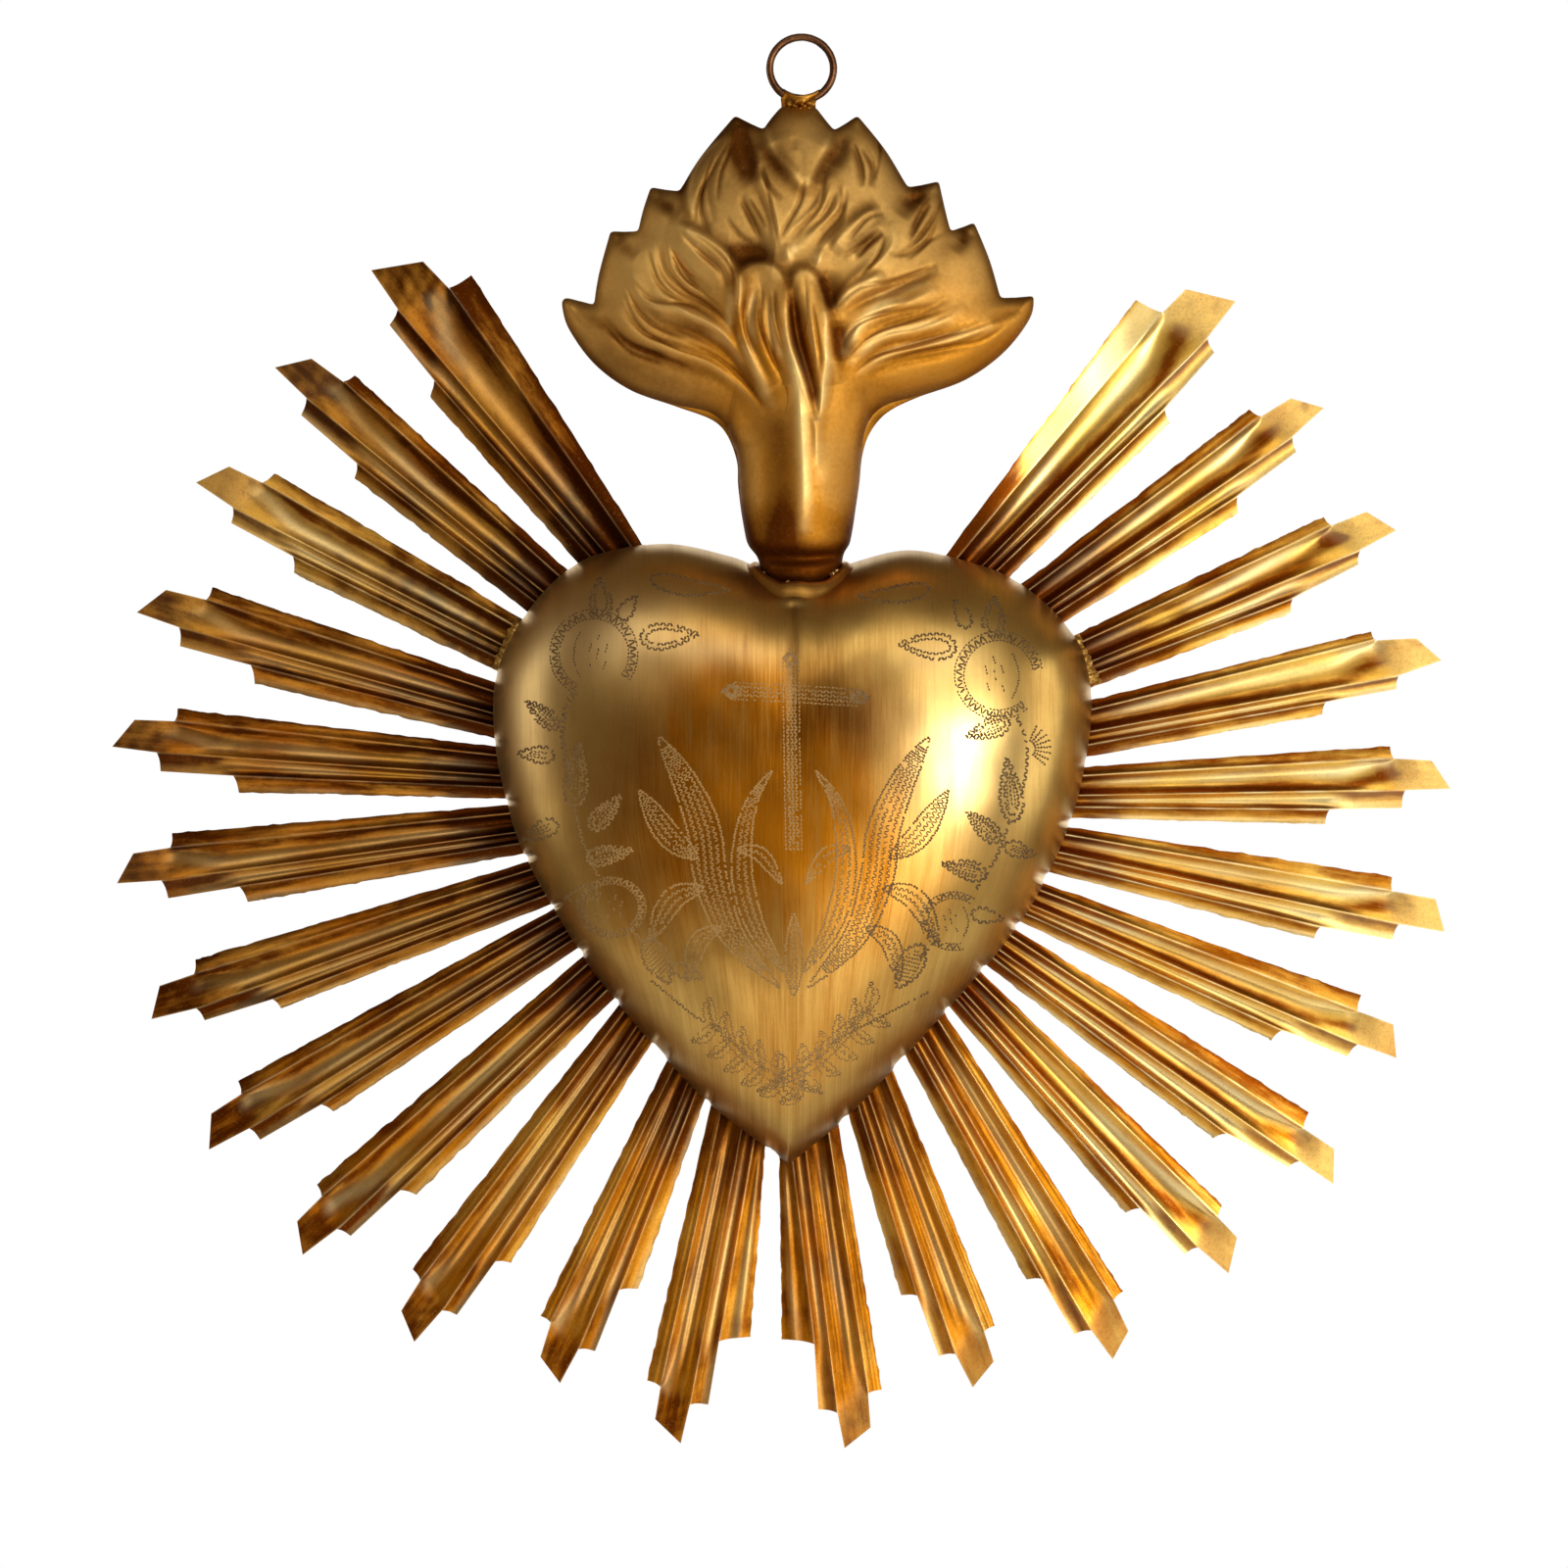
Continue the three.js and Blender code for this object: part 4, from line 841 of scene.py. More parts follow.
            tn = 0.10 + 0.22 * smooth(0.30, 0.62, lf + 0.10 * W2(ac, l, 3, 16.0) + 0.10 * (K - 0.5) * (i - 1.5)) - 0.10 * tip
        else:
            tn = tone * (0.45 + 0.55 * smooth(2.0, 24.0, l))
        aged = dark_side * (0.40 * smooth(24.0, 3.0, l + 6.0 * W2(ac, l, 7, 9.0)) + 0.26 * tip + 0.16 * smooth(0.70, 0.95, lf) - 0.14 * smooth(0.16, 0.34, lf) * smooth(0.84, 0.62, lf))
        if (side, index) == ("left", 2):
            aged = 0.16 * tip + 0.32 * smooth(0.52, 0.28, lf + 0.10 * W2(ac, l, 3, 16.0)) * (0.4 + 0.6 * (W2(ac, l, 1, 6.0) > -0.1))
        if side == "left" and index < 2:
            aged = aged + 0.08 + 0.10 * tip
        # the heat of the soldering has browned the roots of the upper right rays
        burnt = (0.9, 0.95, 0.75, 0.4)[index] * smooth(0.46, 0.08, lf + 0.12 * W2(ac, l, 2, 12.0)) if side == "right" and index < 4 else 0.0 * K
        tn = tn * (1 - 0.45 * burnt)
        # the flat ends of the lower left rays are dull and brown
        dull = 1.0 * tip if side == "left" and index > 5 else 0.0 * K
        tn = tn * (1 - 0.5 * dull)
        con = 1 - 0.68 * low_ray
        # shade: painted shade on the walls and more on the side away from the light, plus the darker roots, ends and
        # stains
        shade = np.clip(0.05 + 0.05 * tone + ((0.66 + 0.16 * tone) * wall + (0.46 + 0.2 * W2(ac, l, 6, 14.0)) * near) * con + 0.20 * edge * (W(l, 3, 1, 4.0) > 0.0) + 0.13 * cloud + 0.12 * dark_side + 0.07 * low_ray + aged + 0.34 * burnt + 0.36 * dull, 0, 1)
        shade = np.clip(shade * (1 - 0.45 * arris) - 0.10 * tip + 0.16 * tip * W(l, ac, 8, 5.0), 0, 1)
        broken = np.clip(0.45 + 0.7 * W(l, i * 3.0, 2, 9.0), 0, 1)
        patchy = np.clip(0.65 + 0.5 * W2(l, 0, i * 5.0, 34.0), 0, 1)
        # glow: painted glints along the arrises, painted highlight bands in the flutes and a painted lighter end on the
        # lit rays
        glow = arris * (0.25 + 0.6 * broken) * (0.12 + 0.78 * tone) + 0.86 * bottom * (1 - near) * (0.18 + 0.82 * tone) * patchy + 0.25 * (tip - dull) * tone
        glow = np.clip((1 - 0.75 * max(0.0, amber)) * (1 - 0.6 * burnt) * glow, 0, 1)
        warm = np.clip(0.22 + amber - 0.30 * low_ray * (i in (0, 3)) + 0.40 * wall + 0.35 * near + 0.45 * burnt + 0.30 * dull - 0.15 * bottom + 0.26 * W2(l, ac, 5, 30.0), 0, 1)
        p.grid(G, flip=(side == "right"), shade=shade, glow=glow, along=l, across=lane, warm=warm, tone=np.clip(tn, 0, 1), matte=np.clip(np.maximum(tip, max(0.7 * low_ray, (0.46 if index < 3 else 0.14) * dark_side)), 0, 1))
        Bk = G.copy()
        Bk[..., 1] += RAY_SHEET
        pick = np.unique(np.concatenate([np.arange(0, G.shape[0], 2), [G.shape[0] - 1]]))
        p.grid(Bk[pick], flip=(side == "left"), shade=np.clip(0.34 + 0.25 * W2(l, ac, 5, 30.0)[pick] + 0.2 * near[pick], 0, 1), glow=0.0, warm=np.clip(0.45 + 0.3 * W(l, ac, 5, 26.0)[pick], 0, 1), tone=0.35 + 0.3 * tone, matte=0.35, along=l[pick], across=lane[pick])
        # the sheet's cut edge
        ringi = [(0, j) for j in range(cols)] + [(ii, cols - 1) for ii in range(1, G.shape[0])] + [(G.shape[0] - 1, j) for j in range(cols - 2, -1, -1)] + [(ii, 0) for ii in range(G.shape[0] - 2, 0, -1)]
        rim = np.array([G[ij] for ij in ringi])
        rim2 = rim.copy()
        rim2[:, 1] += RAY_SHEET
        p.grid(np.stack([rim, rim2], 1), wrap=True, flip=(side == "left"), shade=0.75, glow=0.0, warm=0.5, tone=tone, along=np.stack([[l[ij] for ij in ringi]] * 2, 1), across=np.stack([[lane[ij] for ij in ringi]] * 2, 1))
    # the root's end is folded square to the back plate
    rt = np.array(root)
    rt[0] += (rt[1] - rt[0]) * 0.08
    rt[4] += (rt[3] - rt[4]) * 0.08
    fold = np.stack([np.stack([rt[:, 0] - mid[1][0] * o, np.full(5, yy), rt[:, 1] - mid[1][1] * o], -1) for o, yy in ((0.05, 8.7), (0.6, 8.7), (0.6, 12.45), (0.05, 12.45))])
    p.grid(fold, wrap=True, flip=(side == "right"), shade=0.8, glow=0.0, warm=0.5, tone=tone)
    for c in (fold[:, 0], fold[:, -1]):
        p.grid(np.stack([c[:2], c[[3, 2]]]), shade=0.8, glow=0.0, warm=0.5, tone=tone)
    name = f"ray_{side}_{index + 1:02d}"
    ob = p.build("brass_" + name, material)
    return place(ob, name, slot="ray_" + side)


# ---------------------------------------------------------------- flame
FLAME = [
    [573, 310], [578, 304], [606, 312], [611, 280], [623, 236], [651, 237], [656, 215], [664, 191], [693, 196], [715, 160], [750, 118], [779, 133], [786, 122], [797, 109],
    [815, 108.5], [832, 109], [842, 122], [851, 134], [875, 118], [904, 154], [926.5, 192], [958, 185], [964, 212], [970, 237], [994, 227], [1010, 266], [1021, 305], [1055, 302],
    [1051, 325], [1024, 360], [984.5, 388], [935, 406], [905, 421], [888, 441], [880, 464], [877, 492], [873, 520], [870.9, 535], [868.4, 549], [867.3, 554], [865.4, 558], [862.0, 562.5], [860.4, 566.5], [859.2, 574], [857, 582], [854.5, 588], [850.5, 594], [846, 600], [845, 612], [845, 640],
    [838, 648], [816, 650], [794, 648],
    [788, 640], [788, 612], [787.5, 600], [782.8, 594], [778.8, 588], [776.3, 582], [774.8, 574], [771.8, 566.5], [768.0, 562.5], [764.6, 558], [762.4, 554], [761.0, 549], [758.4, 535], [756, 520], [753, 494], [752, 471], [742, 444], [726, 428], [689, 414.5], [643, 398], [606, 371], [580, 335],
]
CORNERS = {(573, 310), (623, 236), (664, 191), (750, 118), (797, 109), (832, 109), (875, 118), (958, 185), (994, 227), (1055, 302), (606, 312), (651, 237), (693, 196), (779, 133), (851, 134), (926.5, 192), (970, 237), (1021, 305), (845, 640), (788, 640)}
STEM = np.array([[400, 816, 66], [441, 815, 72], [464, 816, 64], [500, 815.0, 60.3], [520, 814.5, 58.4], [535, 814.6, 56.2], [549, 814.7, 53.7], [554, 814.9, 52.4], [558, 815.0, 50.4], [562.5, 815.0, 47.0], [566.5, 816.1, 44.3], [574, 817.0, 42.2], [582, 816.7, 40.3], [588, 816.6, 37.8], [594, 816.6, 33.8], [600, 816.7, 29.3], [612, 816.5, 28.5], [650, 816.5, 28.5]], float)
FC = np.array([815.0, 400.0])


def flame_outline(n):
    i0 = next(i for i, q in enumerate(FLAME) if tuple(q) in CORNERS)
    pts = FLAME[i0:] + FLAME[: i0 + 1]
    run, out = [pts[0]], []
    for q in pts[1:]:
        run.append(q)
        if tuple(q) in CORNERS:
            out.append(catmull(run, 10)[:-1])
            run = [q]
    if len(run) > 1:
        out.append(catmull(run, 10)[:-1])
    line = np.concatenate(out)
    line = resample(np.concatenate([line, line[:1]]), n=2401)[:-1]
    k = np.exp(-0.5 * (np.arange(-9, 10) / 3.4) ** 2)
    line = sum(w * np.roll(line, j, 0) for j, w in zip(range(-9, 10), k / k.sum()))
    return resample(np.concatenate([line, line[:1]]), n=n + 1)[:-1]


def tucked(o):
    """The front half's outline: set in under both wings, where the back half stands out."""
    t = np.roll(o, -2, 0) - np.roll(o, 2, 0)
    nrm = np.stack([t[:, 1], -t[:, 0]], -1) / np.linalg.norm(t, axis=1)[:, None]
    nrm = nrm * np.sign(((FC - o) * nrm).sum())
    lug = 5.5 * np.exp(-(((o[:, 0] - 722) / 34) ** 2 + ((o[:, 1] - 430) / 26) ** 2)) + 8.0 * np.exp(-(((o[:, 0] - 903) / 32) ** 2 + ((o[:, 1] - 430) / 28) ** 2))
    return o + nrm * lug[:, None], lug


# ridges, grooves and lips of the flame's relief: kind, points, half width in grid units, height in mm
RELIEF = [
    ("lip", [(746, 336), (752, 315), (754, 292), (742, 267), (720, 248), (700, 237), (681, 232)], 8, 1.3),
    ("groove", [(673, 250), (678, 279), (697, 301), (723, 315), (744, 332)], 6, 0.9),
    ("groove", [(688, 262), (704, 286), (725, 302)], 5, 0.6),
    ("groove", [(711, 255), (734, 276), (742, 297)], 5, 0.6),
    ("ridge", [(644, 281), (660, 311), (693, 320), (728, 336), (751, 357)], 8, 0.8),
    ("groove", [(648, 308), (676, 332), (711, 343), (742, 364), (771, 399), (786, 423)], 7, 1),
    ("ridge", [(627, 315), (648, 341), (683, 358), (721, 372), (756, 399), (779, 427)], 8, 0.8),
    ("groove", [(613, 322), (641, 351), (679, 371), (718, 383), (749, 402)], 7, 0.7),
    ("ridge", [(665, 297), (700, 322), (735, 341), (756, 367), (774, 395), (788, 423)], 7, 0.7),
    ("lip", [(742, 139), (721, 155), (707, 178), (704, 206), (712, 234)], 7, 0.6),
    ("groove", [(735, 162), (723, 195), (729, 232)], 5, 0.5),
    ("groove", [(718, 181), (716, 209), (724, 241)], 5, 0.45),
    ("hollow", [(752, 132), (754, 155), (762, 178), (777, 186)], 15, 1),
    ("ridge", [(775, 153), (775, 179), (787, 208), (793, 237), (792, 264)], 7, 0.8),
    ("groove", [(755, 202), (770, 230), (777, 251)], 6, 0.6),
    ("groove", [(767, 192), (782, 222), (786, 244)], 5, 0.5),
    ("lip", [(780, 129), (790, 157), (806, 176), (821, 191), (832, 172), (842, 153), (850, 134)], 8, 1.2),
    ("hollow", [(785, 151), (796, 169), (810, 184)], 13, 0.8),
    ("hollow", [(853, 157), (841, 174), (829, 190)], 13, 0.9),
    ("groove", [(810, 143), (811, 157)], 5, 0.3),
    ("ridge", [(846, 179), (841, 206), (820, 227), (801, 246)], 7, 0.7),
    ("groove", [(837, 192), (829, 213), (808, 235)], 5, 0.6),
    ("ridge", [(861, 190), (854, 216), (834, 237), (811, 258)], 7, 0.7),
    ("groove", [(852, 199), (841, 223), (820, 241)], 5, 0.6),
    ("ridge", [(866, 206), (861, 232), (841, 255), (835, 276)], 7, 0.7),
    ("groove", [(869, 150), (876, 171), (878, 194)], 5, 0.5),
    ("groove", [(884, 148), (891, 171), (889, 194)], 5, 0.5),
    ("hollow", [(932, 195), (926, 211), (918, 223)], 12, 0.8),
    ("groove", [(949, 208), (937, 227), (928, 244)], 6, 0.7),
    ("groove", [(956, 213), (946, 234), (933, 251)], 5, 0.5),
    ("lip", [(899, 218), (883, 225), (865, 239), (848, 260)], 8, 1.2),
    ("groove", [(900, 240), (884, 251), (872, 263)], 6, 0.8),
    ("ridge", [(907, 230), (911, 250), (896, 271), (869, 288), (855, 304)], 7, 0.7),
    ("lip", [(902, 282), (878, 296), (859, 307), (852, 323)], 7, 1),
    ("groove", [(858, 324), (886, 308), (915, 296), (956, 278)], 7, 1.1),
    ("ridge", [(865, 358), (876, 336), (898, 320), (927, 312), (956, 297)], 8, 0.9),
    ("groove", [(878, 350), (906, 332), (939, 322), (971, 304)], 6, 0.7),
    ("ridge", [(862, 371), (886, 350), (919, 341), (954, 332), (986, 316)], 8, 0.8),
    ("groove", [(875, 371), (904, 357), (940, 349), (978, 335)], 6, 0.8),
    ("ridge", [(871, 388), (897, 368), (933, 358), (975, 349), (1020, 330)], 8, 0.8),
    ("groove", [(886, 388), (915, 373), (954, 366), (992, 357)], 6, 0.6),
    ("lip", [(827, 423), (818, 392), (805, 355), (802, 320), (796, 287), (779, 274), (763, 278), (756, 291), (757, 332), (767, 364), (786, 404)], 8, 1.5),
    ("groove", [(771, 295), (764, 329), (771, 362), (789, 396)], 7, 1),
    ("groove", [(785, 304), (785, 336), (792, 369), (804, 395)], 6, 0.9),
    ("lip", [(855, 395), (850, 371), (843, 333), (837, 301), (827, 284), (815, 283), (808, 301), (807, 323)], 8, 1.5),
    ("groove", [(806, 288), (809, 318), (814, 346), (822, 376), (829, 404), (833, 432)], 8.0, 1.3),
    ("ridge", [(824, 292), (827, 330), (832, 366), (835, 396), (834, 420)], 12, 1.0),
    ("line", [(828, 312), (834, 350), (838, 384)], 2.4, 0.35),
    ("ridge", [(840, 297), (843, 336), (843, 371), (839, 406), (835, 440), (834, 482)], 7, 0.8),
    ("ridge", [(806, 300), (803, 336), (811, 371), (823, 406), (831, 436), (833, 478)], 7, 0.7),
    ("hollow", [(744, 262), (767, 263), (790, 266)], 16, 1.6),
    ("hollow", [(842, 278), (845, 301), (850, 320)], 13, 1.6),
    ("hollow", [(854, 330), (856, 353), (858, 372)], 12, 1.3),
    ("ridge", [(802, 253), (806, 272)], 7, 0.7),
    ("ridge", [(838, 258), (833, 276)], 7, 0.7),
    ("hollow", [(757, 122), (758, 150), (764, 172), (773, 188)], 12, 1.1),
    ("hollow", [(667, 203), (680, 214), (693, 223)], 9, 0.8),
    ("hollow", [(629, 243), (638, 253), (650, 263)], 8, 0.7),
    ("hollow", [(584, 314), (606, 329), (629, 344)], 8, 0.7),
    ("hollow", [(857, 136), (859, 152), (850, 172)], 10, 1.0),
    ("hollow", [(948, 195), (935, 204), (925, 215)], 9, 0.8),
    ("hollow", [(991, 238), (981, 249), (973, 259)], 8, 0.7),
    ("hollow", [(1048, 311), (1030, 319), (1010, 330)], 8, 0.8),
    ("ridge", [(800, 340), (806, 366), (813, 392), (817, 427), (819, 469), (820, 508), (819, 545)], 12, 0.9),
    ("line", [(676, 246), (682, 276), (698, 298), (722, 314), (744, 334)], 2.4, 0.35),
    ("line", [(684, 250), (697, 282), (716, 300), (738, 318)], 2.2, 0.3),
    ("line", [(708, 243), (734, 262), (748, 284), (747, 312)], 2.2, 0.3),
    ("line", [(636, 300), (654, 336), (690, 358), (724, 370), (752, 388)], 2.2, 0.3),
    ("line", [(716, 196), (716, 220), (726, 244)], 2.0, 0.3),
    ("line", [(729, 158), (718, 190), (716, 222)], 2.0, 0.3),
    ("line", [(893, 128), (898, 158), (892, 186)], 2.0, 0.3),
    ("line", [(930, 236), (940, 214), (950, 202)], 2.0, 0.3),
    ("line", [(868, 384), (894, 366), (934, 352), (984, 340), (1022, 326)], 2.2, 0.3),
    ("line", [(866, 366), (890, 344), (930, 330), (966, 318)], 2.2, 0.3),
    ("line", [(751, 143), (736, 178), (732, 209)], 3.0, 0.4),
    ("line", [(778, 171), (785, 206), (792, 241), (794, 258)], 3.0, 0.5),
    ("line", [(764, 206), (774, 223), (781, 237)], 3.0, 0.4),
    ("line", [(820, 185), (816, 209), (802, 234), (795, 248)], 3.0, 0.5),
    ("line", [(841, 181), (837, 209), (820, 230), (802, 248)], 3.0, 0.45),
    ("line", [(855, 192), (858, 213), (848, 227), (830, 244)], 3.0, 0.45),
    ("line", [(879, 153), (890, 174), (887, 192)], 3.0, 0.45),
    ("line", [(858, 266), (876, 255), (897, 237)], 3.0, 0.5),
    ("line", [(902, 244), (894, 266), (876, 286)], 3.0, 0.45),
    ("line", [(855, 315), (876, 297), (911, 290), (957, 272)], 3.0, 0.5),
    ("line", [(915, 262), (932, 251), (953, 223), (960, 206)], 3.0, 0.45),
    ("line", [(686, 269), (700, 286), (714, 297)], 3.0, 0.45),
    ("line", [(644, 287), (665, 308), (707, 315), (735, 332)], 3.0, 0.45),
    ("line", [(637, 318), (658, 343), (686, 353), (728, 367)], 3.0, 0.45),
    ("line", [(616, 332), (641, 360), (676, 374)], 3.0, 0.4),
    ("line", [(869, 381), (893, 364), (939, 353), (999, 329)], 3.0, 0.4),
    ("line", [(858, 357), (876, 332), (911, 322), (950, 315)], 3.0, 0.4),
    ("line", [(911, 371), (946, 360), (999, 350), (1027, 332)], 3.0, 0.4),
    ("line", [(744, 146), (727, 176), (712, 208), (709, 232)], 3.0, 0.45),
    ("line", [(756, 206), (767, 228), (776, 246)], 3.0, 0.45),
    ("line", [(741, 226), (756, 244), (768, 250)], 3.0, 0.4),
    ("line", [(776, 172), (784, 192), (798, 208)], 3.0, 0.5),
    ("line", [(846, 188), (838, 212), (822, 232), (806, 250)], 3.0, 0.5),
    ("line", [(864, 196), (858, 222), (842, 240), (832, 256)], 3.0, 0.45),
    ("line", [(870, 148), (878, 172), (880, 192)], 3.0, 0.5),
    ("line", [(866, 248), (884, 226), (902, 220)], 3.0, 0.6),
    ("line", [(872, 268), (888, 250), (900, 242)], 3.0, 0.6),
    ("line", [(950, 206), (936, 228), (928, 250)], 3.0, 0.5),
    ("line", [(958, 222), (944, 250), (924, 268)], 3.0, 0.45),
    ("line", [(906, 262), (924, 262), (950, 246), (966, 238)], 3.0, 0.4),
    ("line", [(661, 258), (672, 290), (690, 306), (716, 316)], 3.0, 0.45),
    ("line", [(694, 240), (716, 262), (736, 280)], 3.0, 0.5),
    ("line", [(684, 256), (700, 280), (718, 292)], 3.0, 0.5),
    ("line", [(640, 292), (650, 316), (668, 334), (700, 348)], 3.0, 0.5),
    ("line", [(618, 326), (640, 350), (670, 364), (706, 378)], 3.0, 0.45),
    ("line", [(700, 352), (730, 366), (756, 388), (778, 416)], 3.0, 0.45),
    ("line", [(762, 300), (760, 336), (770, 366)], 3.0, 0.5),
    ("line", [(778, 300), (776, 330), (784, 358), (798, 384)], 3.0, 0.5),
    ("line", [(790, 300), (792, 330), (800, 360)], 3.0, 0.4),
    ("line", [(866, 340), (890, 326), (924, 314)], 3.0, 0.45),
    ("line", [(874, 360), (902, 344), (938, 336), (972, 322)], 3.0, 0.45),
    ("line", [(890, 376), (926, 364), (966, 356), (1006, 342)], 3.0, 0.4),
]


# painted highlight strokes (SHINE) and strokes of painted shade, partly patina (DUSK), on the flame: points, half width
# in grid units, strength
SHINE = [
    ([(865, 362), (870, 345), (880, 331), (897, 316), (918, 308)], 5.5, 0.95), ([(855, 316), (869, 301), (897, 287)], 4.5, 0.6),
    ([(869, 372), (897, 347), (932, 337), (967, 329)], 4.5, 0.75), ([(878, 382), (911, 361), (953, 351), (1009, 336)], 4.0, 0.45),
    ([(800, 345), (807, 368), (814, 394), (818, 430), (820, 470), (822, 512), (821, 540)], 6.5, 0.8),
    ([(834, 430), (841, 400), (844, 374), (841, 330)], 4.0, 0.7), ([(757, 348), (770, 377), (786, 416)], 5.0, 0.55),
    ([(746, 300), (744, 340)], 4.0, 0.5), ([(770, 300), (766, 328), (771, 352)], 3.5, 0.45), ([(785, 316), (789, 348), (802, 374)], 4.0, 0.55),
    ([(804, 268), (808, 261), (815, 255)], 4.0, 0.7), ([(831, 262), (836, 274)], 4.0, 0.6), ([(838, 448), (836, 470), (838, 500)], 7.0, 0.3),
    ([(722, 342), (744, 356), (762, 380)], 3.5, 0.35), ([(888, 308), (916, 300), (946, 292)], 3.5, 0.45),
]
DUSK = [
    ([(735, 262), (757, 258), (788, 262)], 11.0, 0.6), ([(836, 284), (844, 306), (851, 320)], 7.0, 0.6), ([(855, 334), (858, 352), (857, 370)], 7.0, 0.65),
    ([(807, 296), (810, 322), (816, 352), (824, 386), (832, 428)], 6.0, 0.85), ([(820, 310), (824, 350), (831, 392)], 9.0, 0.35), ([(774, 300), (773, 329), (785, 362)], 4.0, 0.5), ([(655, 312), (694, 328), (738, 334)], 15.0, 0.38),
    ([(790, 408), (797, 455), (800, 505), (799, 550), (800, 592)], 16.0, 0.88), ([(626, 350), (684, 374), (732, 396)], 13.0, 0.22), ([(600, 348), (650, 380), (710, 400)], 14.0, 0.34), ([(615, 336), (648, 356), (690, 366)], 5.0, 0.4), ([(742, 366), (765, 396), (784, 428)], 4.5, 0.45),
    ([(664, 196), (676, 210), (692, 214)], 9.0, 0.5), ([(626, 240), (636, 252)], 8.0, 0.45), ([(752, 122), (757, 150), (764, 180)], 10.0, 0.4), ([(944, 196), (932, 206)], 9.0, 0.45), ([(988, 236), (978, 250)], 8.0, 0.45),
    ([(858, 262), (876, 246), (902, 226)], 4.0, 0.5), ([(846, 262), (852, 250), (868, 236)], 4.0, 0.35), ([(870, 342), (892, 322), (930, 308)], 3.0, 0.35),
]


def painted(px, strokes):
    out = np.zeros(len(px))
    for pts, w, a in strokes:
        q = np.array(pts, float)
        m = np.where(((px >= q.min(0) - 3 * w) & (px <= q.max(0) + 3 * w)).all(1))[0]
        if len(m):
            d, k, _ = line_distance(px[m], pts)
            out[m] = np.maximum(out[m], a * np.exp(-((d / w) ** 2)) * np.clip(np.sin(np.pi * np.clip(k, 0.06, 0.94)) * 1.8, 0, 1))
    return out


def line_distance(px, pts):
    """Distance to a smooth line, the share of its length, and the side, positive to its left on screen."""
    c = resample(catmull(pts, 8), n=max(8, 4 * len(pts)))
    best = np.full(len(px), 1e9)
    share, sign = np.zeros(len(px)), np.zeros(len(px))
    n = len(c) - 1
    for i in range(n):
        a, d = c[i], c[i + 1] - c[i]
        w = px - a
        k = np.clip((w @ d) / (d @ d), 0, 1)
        e = w - k[:, None] * d
        dist = np.hypot(e[:, 0], e[:, 1])
        m = dist < best
        best[m] = dist[m]
        share[m] = (i + k[m]) / n
        sign[m] = np.sign(d[0] * w[m, 1] - d[1] * w[m, 0])
    return best, share, sign


def flame_relief(px):
    """Height in mm added to the flame's front, and how hollow each point is."""
    add, hollow = np.zeros(len(px)), np.zeros(len(px))
    for kind, pts, w, h in RELIEF:
        p = np.array(pts, float)
        w = (0.9 if kind in ("lip", "hollow") else 0.78) * w
        lo, hi = p.min(0) - 4 * w, p.max(0) + 4 * w
        m = np.where(((px >= lo) & (px <= hi)).all(1))[0]
        if not len(m):
            continue
        d, s, sg = line_distance(px[m], pts)
        taper = np.sin(np.pi * np.clip(s, 0.0, 1.0)) ** (0.8 if kind == "hollow" else 0.65) * smooth(3.2 * w, 2.0 * w, d)
        if kind == "lip":
            taper = np.clip(np.sin(np.pi * np.clip(s, 0.0, 1.0)) * 2.2, 0, 1)
        if kind == "ridge":
            v = h * np.exp(-((d / w) ** 2) ** 0.8)
            add[m] += v * taper
            hollow[m] -= 0.35 * np.exp(-((d / (0.6 * w)) ** 2)) * taper
        elif kind == "line":
            v = np.exp(-((d / w) ** 2))
            add[m] -= h * v * taper
            hollow[m] += 0.80 * v * taper
        elif kind in ("groove", "hollow"):
            v = np.exp(-((d / w) ** 2))
            add[m] -= h * v * taper
            hollow[m] += (0.75 if kind == "groove" else 1.0) * v * taper * min(1.0, h)
        else:
            out = np.exp(-((d / (0.95 * w)) ** 2))
            inn = np.exp(-((d / (2.6 * w)) ** 2))
            v = np.where(sg > 0, out, inn)
            add[m] += h * v * taper
            hollow[m] += np.where(sg > 0, 1.0, 0.0) * np.exp(-(((d - 1.2 * w) / (0.9 * w)) ** 2)) * 0.7 * taper
            hollow[m] -= 0.4 * np.exp(-((d / (0.5 * w)) ** 2)) * taper
    return add, hollow


_stem = catmull(STEM, 24)


def stem_at(v):
    return np.interp(v, _stem[:, 0], _stem[:, 1]), np.interp(v, _stem[:, 0], _stem[:, 2]) * UNIT


# broad swellings of the tongues: middle, the way the tongue points, half length, half width, height
SWELL = [
    ((812, 148), (0, -1), 46, 28, 1.5), ((738, 185), (-0.05, -1), 84, 44, 1.0), ((884, 185), (0.05, -1), 84, 44, 1.0),
    ((694, 255), (-0.5, -0.86), 84, 36, 1.0), ((658, 300), (-0.62, -0.78), 90, 34, 0.9), ((655, 352), (-0.87, -0.48), 112, 34, 1.4),
    ((922, 252), (0.5, -0.86), 84, 36, 1.0), ((962, 292), (0.66, -0.75), 90, 34, 0.9), ((974, 350), (0.87, -0.48), 112, 34, 1.4),
    ((782, 345), (-0.2, -1), 82, 30, 1.7), ((828, 350), (-0.12, -1), 80, 22, 1.7), ((800, 215), (0, -1), 62, 26, 0.9),
    ((880, 300), (0.6, -0.8), 62, 22, 1.0), ((735, 300), (-0.6, -0.8), 50, 22, 0.9),
]


def swell(px):
    out = np.zeros(px.shape[:-1])
    for c, d, a, b, h in SWELL:
        d = np.array(d, float) / np.hypot(*d)
        w = px - np.array(c, float)
        l, s = w @ d, w @ np.array([-d[1], d[0]])
        q = (l / a) ** 2 + (s / b) ** 2
        out += h * np.clip(1 - q, 0, None) ** 1.3
    return out


